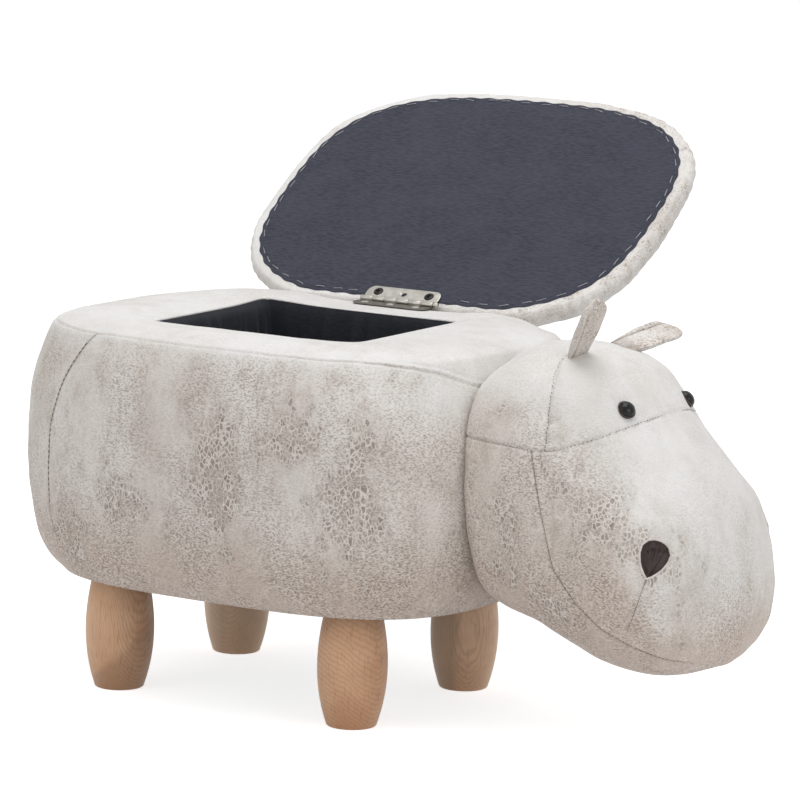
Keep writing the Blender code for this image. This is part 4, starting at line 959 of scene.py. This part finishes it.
def make_lid(leather):
    widest = lid_widest_share * lid_edge_thickness
    profile = [(lid_under_roll + 0.026 * (1 - step / 12), 0.0) for step in range(12)]
    profile += [(lid_under_roll * (1 - sine), widest * (1 - cosine)) for sine, cosine in quarter(8)]
    edge_row = len(profile) - 1
    profile += [(lid_top_roll * (1 - cosine), widest + (lid_edge_thickness - widest) * sine)
                for sine, cosine in quarter(18, 1)]
    profile += [(lid_top_roll + (lid_half_width - lid_top_roll) * share,
                 lid_edge_thickness + lid_crown * (1 - (1 - share) ** 2)) for share in np.arange(1, 41) / 40]
    angle = even_angles(lid_half_length, lid_half_width, lid_exponent, 460)
    rows = []
    for inset, height in profile:
        rolled = min(inset, lid_under_roll) if height < widest else 0.0
        rows.append(lifted(lid_outline(min(inset, lid_half_width), height, rolled, angle), lid_under + height))
    points = np.array(rows)
    normals, run = grid_normals(points), run_along(points)
    x, y = points[..., 0], points[..., 1]
    soft = 0.0007 * ripples(points, 51, 0.060) + 0.0003 * ripples(points, 52, 0.025)
    side = bell(run, 0.012, run[edge_row])
    around = run_along(points[edge_row])
    tucks = 0.00045 * side * np.sin(around * full_turn / 0.013 + 2.0 * ripples(points, 53, 0.05))
    corner = bell(x, 0.030, -0.150) * bell(y, 0.030, -0.020)
    for at, deep in ((-0.152, 0.0016), (-0.144, 0.0013)):
        tucks = tucks - deep * corner * side * bell(x, 0.0014, at)
    ends = step_up(run, 0.0265, 0.0330) * np.clip(np.arange(len(rows))[::-1] / 5, 0, 1)[:, None]
    behind = np.clip((-y - 0.004) / 0.010, 0.0, 1.0)
    moved = (soft + tucks + 0.0006 * (run > 0.034)) * behind * ends
    points = points + normals * moved[..., None]
    # Painted shade, taken with the lid closed: none on its top, more on its rim and towards the front; the front
    # also wears more
    front = step_up(points[..., 0], 0.0, 0.12)
    lid = mesh_of("lid_cushion", lid_world(points), {
        "seam": 0 * run, "wear": 0.35 * front + 0.2 * ripples(points, 54, 0.03),
        "painted_shade": (0.04 + 0.22 * front) * step_up(-normals[..., 2], -0.80, 0.10)})
    finish(lid, leather, "lid", "faux_leather", "lid_cover", "lid_foam")


def make_lining(cloth, staple_metal):
    """Charcoal cloth stapled over the board, and its staples."""
    angle = even_angles(lid_half_length, lid_half_width, lid_exponent, 420)
    outline = lid_outline(lid_rim, 0.0, lining_rear_margin, angle)
    maker = np.random.default_rng(61)
    middle = np.array((lid_offset_x - hinge_offset_x, -lid_from_axis))
    run, count = run_along(outline), lid_staple_count
    total = run[-1] + norms(outline[0] - outline[-1])
    places = (np.arange(count) + maker.uniform(-0.18, 0.18, count)) * total / count
    near_leaf = (np.abs(outline[:, 0]) < 0.045) & (outline[:, 1] > -0.03)
    bay = 0.0007 * np.cos((run / total * count) * full_turn) * ~near_leaf
    share = (np.arange(41) / 40)[:, None, None]
    grid = (middle + (outline - middle) * (1 - share ** 1.3)
            + unit(outline - middle) * bay[:, None] * np.exp(-share * 20))
    heights, staples = np.zeros(grid.shape[:2]), []
    for place in places:
        index = int(np.searchsorted(run, place % total)) % len(run)
        spot = outline[index]
        if abs(spot[0]) < 0.046 and spot[1] > -0.03:
            continue
        way = unit(outline[(index + 3) % len(run)] - outline[index - 3])
        inward = middle - spot
        inward = unit(inward - way * (inward @ way))
        spot = spot + inward * (0.0042 + maker.uniform(-0.0008, 0.0008))
        turn = maker.uniform(-0.16, 0.16)
        way = way * math.cos(turn) + across_of(way) * math.sin(turn)
        staples.append((spot, way, maker.uniform(-0.0001, 0.0004)))
        away = grid - spot
        heights += 0.0009 * bell(away @ way, 0.0062, power=4) * bell(away @ across_of(way), 0.0018)
    low = lining_from_axis + 0.0002
    lift = low - 0.0002 * np.abs(ripples(lifted(grid, 0), 62, 0.05)) + heights * 0.5
    lift[0] += 0.0007
    lining = mesh_of("lid_lining_cloth", lid_world(lifted(grid, lift)[:, ::-1]))
    finish(lining, cloth, "lid", "lining_cloth", "lid_lining")
    bm = bmesh.new()
    for spot, way, sunk in staples:
        add_staple(bm, lid_place, spot, way, low + sunk)
    finish(object_of("lid_staples", bm), staple_metal, "lid", "steel")


def add_staple(bm, place, spot, way, low):
    """A crown of flat wire with both ends turned down into the cloth."""
    half, wire = staple_half_length, staple_wire
    line = [(-half, 0.0012), (-half, 0.0002), (-half * 0.93, -0.00045), (-half * 0.5, -0.00052), (0, -0.00050)]
    line += [(-along, drop) for along, drop in line[3::-1]]
    rings = []
    for index, (along, drop) in enumerate(line):
        before, after = line[max(index - 1, 0)], line[min(index + 1, len(line) - 1)]
        slope = math.atan2(after[1] - before[1], after[0] - before[0])
        ring = []
        for side, rise in ((1.5, 1), (1.9, 0), (1.5, -1), (-1.5, -1), (-1.9, 0), (-1.5, 1)):
            out = rise * wire * 0.8
            flat = spot + way * (along - math.sin(slope) * out) + across_of(way) * side * wire
            ring.append(bm.verts.new(place @ Vector((*flat, low + drop + math.cos(slope) * out))))
        rings.append(ring)
    bridge(bm, rings)


# Bin liner and dust cover

def make_liner(cloth):
    """A bag of thin cloth that hangs in soft folds in the bin."""
    half = np.array((bin_half_x, bin_half_y))
    outline = []
    for number, signs in enumerate(((1, 1), (-1, 1), (-1, -1), (1, -1))):
        for step in range(7):
            turn = quarter_turn * (number + step / 6)
            outline.append(signs * (half - bin_corner) + bin_corner * np.array((math.cos(turn), math.sin(turn))))
    outline = np.array(outline + outline[:1])
    run = run_along(outline)
    spots = np.linspace(0, run[-1], 420, endpoint=False)
    plan = np.stack([np.interp(spots, run, column) for column in outline.T], -1)
    inward = -np.sign(plan) * (np.abs(plan) > half - 0.0045)
    inward = inward / np.maximum(norms(inward)[:, None], 1)
    maker = np.random.default_rng(71)
    folds = np.zeros(len(spots))
    for size, deep in liner_folds:
        folds += deep * np.sin(spots * full_turn / (run[-1] / round(run[-1] / size)) + maker.uniform(0, 6.28))
    folds = np.abs(folds) ** 1.15 * 1.6
    high, low = edge_height - 0.0013, bin_floor
    rows = []
    for share in np.arange(61) / 60:
        hang = np.clip(share / 0.12, 0, 1) * np.clip((1 - share) / 0.08, 0, 1)
        swing = np.interp((spots + 0.010 * share * np.sin(spots * 40)) % run[-1], spots, folds)
        depth = 0.0004 + swing * hang + 0.0012 * math.sin(math.pi * share) * (0.5 + 0.5 * np.sin(spots * 31))
        near_top = math.exp(-share * 70)
        flare = (np.array((edge_half_x, edge_half_y)) - half - 0.0003) * near_top
        place = plan + inward * ((depth * (1 - near_top))[:, None] - flare)
        rows.append(lifted(place, high + (low - high) * share + corner_rise(*place.T) * near_top))
    for share in np.arange(1, 31) / 30:
        inside = place * (1 - share)
        lift = 0.0006 + 0.0007 * ripples(lifted(inside, 0), 72, 0.04) * min(share * 6, 1)
        rows.append(lifted(inside, low + np.maximum(lift, 0.0001)))
    liner = mesh_of("bin_liner_cloth", to_world(np.array(rows)))
    finish(liner, cloth, "base", "black_cloth", "bin_liner")
    deep = high - low


def make_dust_cover(cloth, staple_metal):
    """Thin black cloth under the base, with its staples."""
    inset = float(drawn_in(np.array(ground_clearance))) + 0.0062
    half_x, half_y = body_half_length - inset, body_half_width - inset
    angle = even_angles(body_half_length, body_half_width, plan_exponent, 300)
    outline = np.stack(superellipse(half_x, half_y, plan_exponent, angle), -1)
    share = (np.arange(31) / 30)[:, None]
    grid = outline * (1 - share[..., None])
    sag = 0.0008 * ripples(lifted(grid, 0), 81, 0.07) * share ** 0.5
    lift = ground_clearance + 0.0002 + np.clip(sag, -0.0001, 0.0008)
    cover = mesh_of("dust_cover_cloth", to_world(lifted(grid, lift)[:, ::-1]))
    finish(cover, cloth, "base", "black_cloth", "dust_cover")
    bm = bmesh.new()
    spaced = even_angles(half_x, half_y, plan_exponent, dust_staple_count)
    spots = np.stack(superellipse(half_x - 0.005, half_y - 0.005, plan_exponent, spaced), -1)
    for before, spot, after in zip(np.roll(spots, 1, 0), spots, np.roll(spots, -1, 0)):
        add_staple(bm, Matrix.Translation(centre), spot, unit(after - before), ground_clearance + 0.0002)
    finish(object_of("dust_cover_staples", bm), staple_metal, "base", "steel")


# Hinge

def leaf(name, side, matrix):
    """A leaf with round corners and countersunk holes, with its knuckles."""
    half, inner = hinge_length / 2, barrel_radius - leaf_thickness
    outline = [(half, -barrel_radius - 0.0003), (-half, -barrel_radius - 0.0003)]
    for start, sign_x in ((math.pi, -1), (1.5 * math.pi, 1)):
        for step in range(9):
            turn = start + quarter_turn * step / 8
            outline.append((sign_x * (half - leaf_corner) + leaf_corner * math.cos(turn),
                            -leaf_width + leaf_corner + leaf_corner * math.sin(turn)))
    bm = bmesh.new()
    levels = sorted((side * barrel_radius, side * inner))
    bridge(bm, [[bm.verts.new((x, y, z)) for x, y in outline] for z in levels])
    piece = object_of(name, bm, smooth=False)
    bm = bmesh.new()
    flip = Matrix.Rotation(math.pi, 4, "X") if side > 0 else Matrix()
    wide = screw_hole_radius + 0.0017
    for x in (-screw_spacing, 0.0, screw_spacing):
        place = Matrix.Translation((x, -screw_from_axis, side * inner)) @ flip
        bridge(bm, [ring_of(bm, radius, height, 28, place) for radius, height in (
            (screw_hole_radius, -0.004), (screw_hole_radius, -0.0010), (wide, 0.0002), (wide, 0.004))])
    combine(piece, bm, "DIFFERENCE")
    bm = bmesh.new()
    start, length = -(barrel_radius + 0.0008), hinge_length / knuckles
    angles = np.linspace(-quarter_turn, math.radians(215), 30)
    section = [(start, -barrel_radius)]
    section += [(barrel_radius * math.cos(a), barrel_radius * math.sin(a)) for a in angles]
    section += [(inner * math.cos(a), inner * math.sin(a)) for a in angles[::-1]]
    section.append((start, -inner))
    for index in range(0 if side < 0 else 1, knuckles, 2):
        left = -half + length * index + 0.00015
        bridge(bm, [[bm.verts.new((x, y, z * -side)) for y, z in section] for x in (left, left + length - 0.0003)])
    combine(piece, bm, "UNION")
    bevel = piece.modifiers.new("bevel", "BEVEL")
    bevel.width, bevel.segments = 0.00022, 2
    bevel.limit_method, bevel.angle_limit = "ANGLE", math.radians(50)
    bake(piece)
    return settle(piece, matrix)


def combine(piece, bm, operation):
    """Cut a mesh out of a piece, or join it on."""
    bmesh.ops.recalc_face_normals(bm, faces=bm.faces)
    other = object_of("other", bm, smooth=False)
    modifier = piece.modifiers.new("combine", "BOOLEAN")
    modifier.operation, modifier.solver, modifier.object = operation, "EXACT", other
    bake(piece)
    bpy.data.objects.remove(other, do_unlink=True)


def bake(piece):
    """Apply a piece's modifiers to its mesh."""
    graph = bpy.context.evaluated_depsgraph_get()
    graph.update()
    mesh = bpy.data.meshes.new_from_object(piece.evaluated_get(graph))
    piece.modifiers.clear()
    piece.data = mesh


def settle(piece, place):
    """Shade a piece smooth between its sharp edges and move it to its place."""
    piece.data.shade_smooth()
    piece.data.set_sharp_from_angle(angle=math.radians(35))
    piece.data.transform(place)
    return piece


def screw_head(name, place, radius, material, slot, body, replaced):
    """A countersunk head with a cross recess."""
    bm = bmesh.new()
    bridge(bm, [ring_of(bm, radius * share, height, 40) for share, height in screw_profile])
    piece = object_of(name, bm)
    for turn in (0.35, 0.35 + quarter_turn):
        bm = bmesh.new()
        spin = Matrix.Rotation(turn, 3, "Z")
        bridge(bm, [[bm.verts.new(spin @ Vector((x * radius, y * radius, height)))
                     for x, y in ((-long, -wide), (long, -wide), (long, wide), (-long, wide))]
                    for long, wide, height in ((0.62, 0.13, 0.0016), (0.30, 0.08, -0.0009))])
        combine(piece, bm, "DIFFERENCE")
    finish(settle(piece, place), material, body, slot, replaced)


def make_hinge(nickel, shaded_nickel, black_metal):
    rest = Matrix.Translation(axis)
    half, inner = hinge_length / 2, barrel_radius - leaf_thickness
    body_leaf = leaf("hinge_leaf_lower", -1, rest)
    # The lower leaf's plate takes a darker nickel as painted shade under the barrel; its knuckles keep the plain
    # nickel
    finish(body_leaf, shaded_nickel, "base", "nickel", "hinge_leaf_body")
    body_leaf.data.materials.append(nickel)
    for face in body_leaf.data.polygons:
        if (rest.inverted() @ face.center).yz.length < barrel_radius + 0.0004:
            face.material_index = 1
    finish(leaf("hinge_leaf_upper", 1, lid_place), nickel, "lid", "nickel", "hinge_leaf_lid")
    for number, x in enumerate((-screw_spacing, 0.0, screw_spacing), start=1):
        place = rest @ Matrix.Translation((x, -screw_from_axis, -inner))
        screw_head(f"screw_lower_{number}", place, lower_head_radius, nickel, "steel", "base",
                   f"hinge_screw_body_{number}")
    for number, x in enumerate((-screw_spacing, screw_spacing), start=1):
        place = lid_place @ Matrix.Translation((x, -screw_from_axis, inner)) @ Matrix.Rotation(math.pi, 4, "X")
        screw_head(f"screw_upper_{number}", place, upper_head_radius, black_metal, "black_screw", "lid",
                   f"hinge_screw_lid_{number}")
    pin = [(0.0, -half - 0.0002), (inner - 0.0001, -half - 0.0002), (inner - 0.0001, half + 0.0003),
           (0.0024, half + 0.0003)]
    pin += [(0.0027 * cosine, half + 0.0024 + 0.0024 * sine) for sine, cosine in quarter(8)]
    piece = lathe("hinge_pin_round", pin, 40, rest @ Matrix.Rotation(quarter_turn, 4, "Y"))
    piece.data.set_sharp_from_angle(angle=math.radians(40))
    finish(piece, nickel, "base", "nickel", "hinge_pin")


# Materials

def leather_finish():
    """Off-white imitation leather: pebbled grain, pale crackle over darker patches, soft clouds, with painted
    shade from white tops to warm grey sides and along the seams.
    """
    shader = Shader("distressed_leather")
    place, step, noise, times, over = shader.place, shader.step, shader.noise, shader.times, shader.over
    wear, seam, painted_shade = (shader.node("ShaderNodeAttribute", attribute_name=name).outputs["Fac"]
                         for name in ("wear", "seam", "painted_shade"))
    upright = shader.scaled(place, (1.0, 1.0, 0.5))
    cloud = step(noise(upright, 16.0, 5.0, 0.62), 0.36, 0.66)
    # Lit and shaded copies of the white, chosen by the painted shade
    above = shader.mix(cloud, tone(238, 236, 234), tone(228, 225, 221))
    beside = shader.mix(cloud, tone(233, 227, 221), tone(214, 205, 197))
    colour = shader.mix(step(painted_shade, 0.0, 0.62), above, beside)
    # A warm grey lowest down: painted shade
    colour = over(colour, (206, 188, 176), step(painted_shade, 0.62, 1.0, 0.0, 0.8))
    # The marks below fade on the tops and grow stronger low down, following the painted shade
    aside = step(painted_shade, 0.0, 0.6, 0.22, 1.0)
    streak = step(noise(shader.warped(upright, 30.0, 0.02), 70.0, 4.0, 0.6), 0.50, 0.70)
    colour = over(colour, (186, 172, 160), streak, aside, 0.34)
    worn = shader.math("ADD", wear, times(shader.math("SUBTRACT", noise(upright, 64.0, 4.0, 0.62), 0.5), 2.4))
    patch = times(step(worn, 0.18, 0.80), aside)
    colour = over(colour, (166, 150, 137), patch, 0.42)
    grain = noise(shader.scaled(shader.warped(place, 110.0, 0.0045), (1.0, 1.0, 2.1)), 460.0, 2.0, 0.55, 0.3)
    dark, pale = step(grain, 0.38, 0.53, 1.0, 0.0), step(grain, 0.53, 0.66)
    grainy = step(noise(upright, 24.0, 3.0), 0.36, 0.60, 0.35, 1.0)
    strong = times(shader.math("MAXIMUM", grainy, patch), aside, step(painted_shade, 0.5, 1.0, 1.0, 1.35))
    colour = over(colour, (128, 112, 100), dark, strong, 0.52)
    colour = over(colour, (240, 236, 231), pale, strong, 0.36)
    tall = shader.scaled(shader.warped(place, 150.0, 0.0032), (1.0, 1.0, 0.62))
    line = step(shader.cells(tall, 300.0), 0.01, 0.18, 1.0, 0.0)
    here = times(step(worn, 0.28, 0.70), step(noise(place, 95.0, 2.0), 0.32, 0.54), step(painted_shade, 0.05, 0.30))
    inner = times(shader.math("SUBTRACT", 1.0, line),
                  step(shader.cells(tall, 300.0, "F1", "Color"), 0.1, 0.9, 0.15, 0.66))
    colour = over(colour, (136, 120, 106), here, inner)
    web = step(shader.cells(shader.warped(upright, 60.0, 0.010), 105.0), 0.0, 0.055, 1.0, 0.0)
    web_here = times(web, aside, step(noise(place, 33.0, 2.0), 0.46, 0.62))
    line_here = shader.math("MAXIMUM", times(line, here), times(web_here, 0.6))
    colour = over(colour, (240, 235, 229), line_here, 0.70)
    # Painted shade along the seams and where parts meet
    colour = over(colour, (118, 104, 94), seam, 0.62)
    height = shader.math("ADD", shader.math("SUBTRACT", grain, times(dark, 0.30)), times(line_here, -0.35))
    fleck = noise(place, 1400.0, 2.0)
    return shader.set(Base_Color=colour, Specular_IOR_Level=0.30, Sheen_Weight=0.06,
                      Roughness=step(shader.math("ADD", wear, fleck), 0.3, 1.4, 0.58, 0.74),
                      Normal=shader.bump(height, 0.0007, 0.5))


def cloth_finish(name, dark, light, scale, roughness, bump=0.5):
    """Plain weave with slubs and soft clouds."""
    shader = Shader(name)
    weave = shader.times(*(shader.waves(shader.place, scale, 0.6, 1.0, 3.0, bands_direction=way)
                           for way in "XZ"))
    cloud = shader.step(shader.noise(shader.place, 25.0, 4.0), 0.35, 0.68)
    slub = shader.step(shader.noise(shader.scaled(shader.place, (1.0, 5.0, 5.0)), 160.0, 3.0), 0.34, 0.66)
    mixed = shader.math("ADD", shader.times(weave, 0.45), shader.times(slub, 0.50))
    colour = shader.over(shader.over(tone(*dark), light, mixed), light, cloud, 0.22)
    return shader.set(Base_Color=colour, Roughness=roughness, Specular_IOR_Level=0.25, Sheen_Weight=0.08,
                      Normal=shader.bump(shader.math("ADD", weave, slub), 0.0003, bump))


def wood_finish(name, shift, turn, warm, lift=0, shaded_side=None, pale=0.0):
    """Light oiled wood, turned, so that its year rings show as arcs, with a grey band of painted shade on one side
    and a lift and pale wash of painted light where asked for.
    """
    shader = Shader(name)
    bent = shader.warped(shader.scaled(shader.place, (1.0, 1.0, 0.42), shift, turn), 14.0, 0.020)
    ring = shader.step(shader.waves(bent, 190.0, 3.4, 3.0, 1.3, wave_type="RINGS", rings_direction="Y"),
                       0.35, 1.0)
    # lift raises every tone: painted light for legs that stand in shade
    colour = shader.mix(shader.step(shader.noise(shader.place, 22.0, 3.0), 0.35, 0.7),
                        tone(228 + lift, 186 + lift, 149 + lift), tone(204 + lift, 156 + lift, 119 + lift))
    colour = shader.over(colour, (160, 112, 78), ring, 0.26)
    # A grey band on one side of the leg, away from the light: painted shade
    if shaded_side:
        way, edge, strength = shaded_side
        side = shader.vector("DOT_PRODUCT", shader.warped(shader.place, 30.0, 0.012, 3.0), way, output="Value")
        side = shader.step(side, edge - 0.004, edge + 0.004, 0.0, strength)
        colour = shader.over(colour, (122, 98, 82), side)
    streak = shader.noise(shader.scaled(shader.place, (1.0, 1.0, 0.07), shift, turn), 620.0, 3.0, 0.6)
    colour = shader.over(colour, (146, 103, 70), shader.step(streak, 0.52, 0.74, 0.0, 0.42))
    # warm tints the wood; pale washes it lighter: painted light
    colour = shader.over(shader.over(colour, (196, 138, 100), warm), (255, 224, 194), pale)
    pore = shader.noise(shader.scaled(shader.place, (1.0, 1.0, 0.10), shift, turn), 1500.0, 2.0)
    return shader.set(Base_Color=colour, Roughness=shader.step(pore, 0.3, 0.7, 0.40, 0.56),
                      Normal=shader.bump(shader.math("ADD", shader.times(ring, 0.4), pore), 0.0002, 0.35))


def metal_finish(name, light, dark, roughness, brushed=0.25):
    shader = Shader(name)
    across = shader.noise(shader.scaled(shader.place, (0.05, 1.0, 1.0)), 2600.0, 2.0)
    stain = shader.step(shader.noise(shader.place, 170.0, 4.0, 0.6), 0.36, 0.70)
    colour = shader.over(shader.over(tone(*light), dark, stain, 0.35), dark, across, brushed)
    return shader.set(Base_Color=colour, Metallic=1.0, Normal=shader.bump(across, 0.00008, 0.25),
                      Roughness=shader.step(across, 0.3, 0.7, roughness - 0.06, roughness + 0.08))


def gloss_finish(name, scale, detail, first, second, smoothest, roughest, shine):
    """Black gloss of the eyes and the brown of their rims."""
    shader = Shader(name)
    cloud = shader.noise(shader.place, scale, detail)
    return shader.set(Base_Color=shader.mix(cloud, tone(*first), tone(*second)), Specular_IOR_Level=shine,
                      Roughness=shader.step(cloud, 0.3, 0.7, smoothest, roughest))


def satin_finish():
    shader = Shader("brown_satin")
    thread = shader.noise(shader.scaled(shader.place, (1.0, 1.0, 0.16), turn=(0.2, 0.3, 0.1)), 1500.0, 2.0)
    colour = shader.mix(shader.noise(shader.place, 130.0, 3.0), tone(36, 26, 25), tone(54, 40, 37))
    return shader.set(Base_Color=shader.over(colour, (80, 63, 57), thread, 0.30), Sheen_Weight=0.1,
                      Specular_IOR_Level=0.30, Roughness=shader.step(thread, 0.3, 0.7, 0.34, 0.48),
                      Normal=shader.bump(thread, 0.0002, 0.4))


def ply_finish():
    shader = Shader("birch_ply")
    layer = shader.waves(shader.place, 110.0, 0.4, 2.0, 1.0, bands_direction="Z")
    grain = shader.noise(shader.scaled(shader.place, (0.08, 1.0, 1.0)), 420.0, 4.0)
    colour = shader.mix(shader.step(grain, 0.35, 0.7), tone(222, 196, 158), tone(196, 163, 120))
    return shader.set(Base_Color=shader.over(colour, (160, 122, 82), layer, 0.2),
                      Roughness=shader.step(grain, 0.3, 0.7, 0.55, 0.75), Normal=shader.bump(grain, 0.0003, 0.4))


def foam_finish():
    shader = Shader("foam_cells")
    cell = shader.cells(shader.place, 900.0)
    colour = shader.mix(shader.step(cell, 0.0, 0.2), tone(196, 188, 150), tone(238, 232, 205))
    return shader.set(Base_Color=colour, Roughness=shader.step(cell, 0.0, 0.4, 0.95, 0.85),
                      Normal=shader.bump(cell, 0.0004, 0.6))


def dress_nodes(finishes):
    """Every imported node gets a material, also those inside."""
    for name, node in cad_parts.items():
        for words, finish_of_node in finishes:
            if any(word in name for word in words):
                node.data.materials.clear()
                node.data.materials.append(finish_of_node)
                break


def make_stitches(name, lines, thread, pitch=0.0046, length=0.0030, radius=0.00030, sunk=0.0010):
    """Thread that shows at the bottom of seams, each line given by places and outward ways."""
    bm = bmesh.new()
    for line in lines:
        places, outward = line[:, 0], line[:, 1]
        run = run_along(places)

        def at(spot, table):
            return Vector([float(np.interp(spot, run, column)) for column in table.T])

        for number in range(int(run[-1] / pitch)):
            start = number * pitch
            way = (at(start + length, places) - at(start, places)).normalized()
            rings = []
            for share, swell in ((0, 0.35), (0.15, 1), (0.5, 1.05), (0.85, 1), (1, 0.35)):
                spot = start + length * share
                out = at(spot, outward).normalized()
                side = out.cross(way).normalized()
                middle = at(spot, places) - out * (sunk - 0.0003 * math.sin(math.pi * share)) + centre
                wide = radius * swell
                rings.append([bm.verts.new(middle + (side * math.cos(turn) + out * math.sin(turn)) * wide)
                              for turn in turned(6)])
            bridge(bm, rings)
    finish(object_of(name, bm), thread, "base", "faux_leather")


def main():
    bpy.context.scene.view_settings.view_transform = "Standard"
    add_camera()
    add_stage()
    leather = leather_finish()
    charcoal = cloth_finish("charcoal_cloth", (44, 46, 57), (76, 78, 92), 420.0, 0.85)
    black_cloth = cloth_finish("black_cloth", (22, 24, 30), (44, 47, 56), 500.0, 0.72, 0.3)
    dust_cloth = cloth_finish("dust_cloth", (20, 20, 22), (42, 42, 44), 300.0, 0.95)
    # leg_wood_2 and leg_wood_4 take a lift and a pale wash of painted light; these and leg_wood_3 a grey band of
    # painted shade on one side
    woods = [wood_finish("leg_wood_1", (0.05, 0.13, 0.05), (0.15, 0.5, 0.2), 0.22),
             wood_finish("leg_wood_2", (0.21, 0.06, -0.02), (0.1, 0.1, 0.9), 0.0, 27,
                         ((-0.847, -0.531, 0.0), 0.006, 0.42), 0.20),
             wood_finish("leg_wood_3", (0.12, 0.22, 0.03), (0.5, 0.2, 0.4), 0.05, 0,
                         ((0.60, 0.40, -0.70), -0.022, 0.30)),
             wood_finish("leg_wood_4", (0.33, 0.02, 0.07), (0.2, 0.4, 1.4), 0.0, 27,
                         ((-0.847, -0.531, 0.0), 0.008, 0.40), 0.50)]
    nickel = metal_finish("satin_nickel", (186, 183, 176), (132, 127, 118), 0.33)
    # A darker copy of the nickel: painted shade for the lower leaf's plate
    shaded_nickel = metal_finish("shaded_nickel", (128, 123, 116), (84, 79, 73), 0.36)
    steel = metal_finish("bright_steel", (182, 182, 184), (118, 118, 120), 0.32)
    dim_steel = metal_finish("dim_steel", (142, 142, 146), (84, 84, 90), 0.42)
    black_metal = metal_finish("black_metal", (52, 50, 50), (26, 25, 26), 0.38, 0.08)
    black = gloss_finish("eye_gloss", 140.0, 2.0, (9, 9, 13), (22, 19, 20), 0.13, 0.19, 0.28)
    brown = gloss_finish("eye_rim_brown", 500.0, 3.0, (52, 36, 32), (88, 62, 54), 0.35, 0.50, 0.50)
    satin, ply, foam = satin_finish(), ply_finish(), foam_finish()
    grey_thread = cloth_finish("grey_thread", (126, 114, 104), (168, 156, 146), 900.0, 0.8)
    dress_nodes(((("base_panel", "board", "wall", "bulkhead", "deck"), ply),
                 (("foam", "padding", "stuffing"), foam),
                 (("cover_", "lid_cover", "ear"), leather),
                 (("bolt", "nut", "neck_screw", "screw_body"), steel),
                 (("screw_lid",), black_metal),
                 (("hinge",), nickel),
                 (("lining",), charcoal),
                 (("liner",), black_cloth),
                 (("dust",), dust_cloth),
                 (("eye",), black),
                 (("nostril",), satin),
                 (("leg_",), woods[0])))
    body_points = make_body(leather, brown)
    head_points = make_head(leather, body_points, grey_thread)
    for name, sign in (("right", 1), ("left", -1)):
        make_nostril(name, sign, satin, leather, head_points)
    make_eyes(black, brown)
    make_ears(leather)
    make_legs(woods)
    make_lid(leather)
    make_lining(charcoal, dim_steel)
    make_liner(black_cloth)
    make_dust_cover(dust_cloth, steel)
    make_hinge(nickel, shaded_nickel, black_metal)


main()
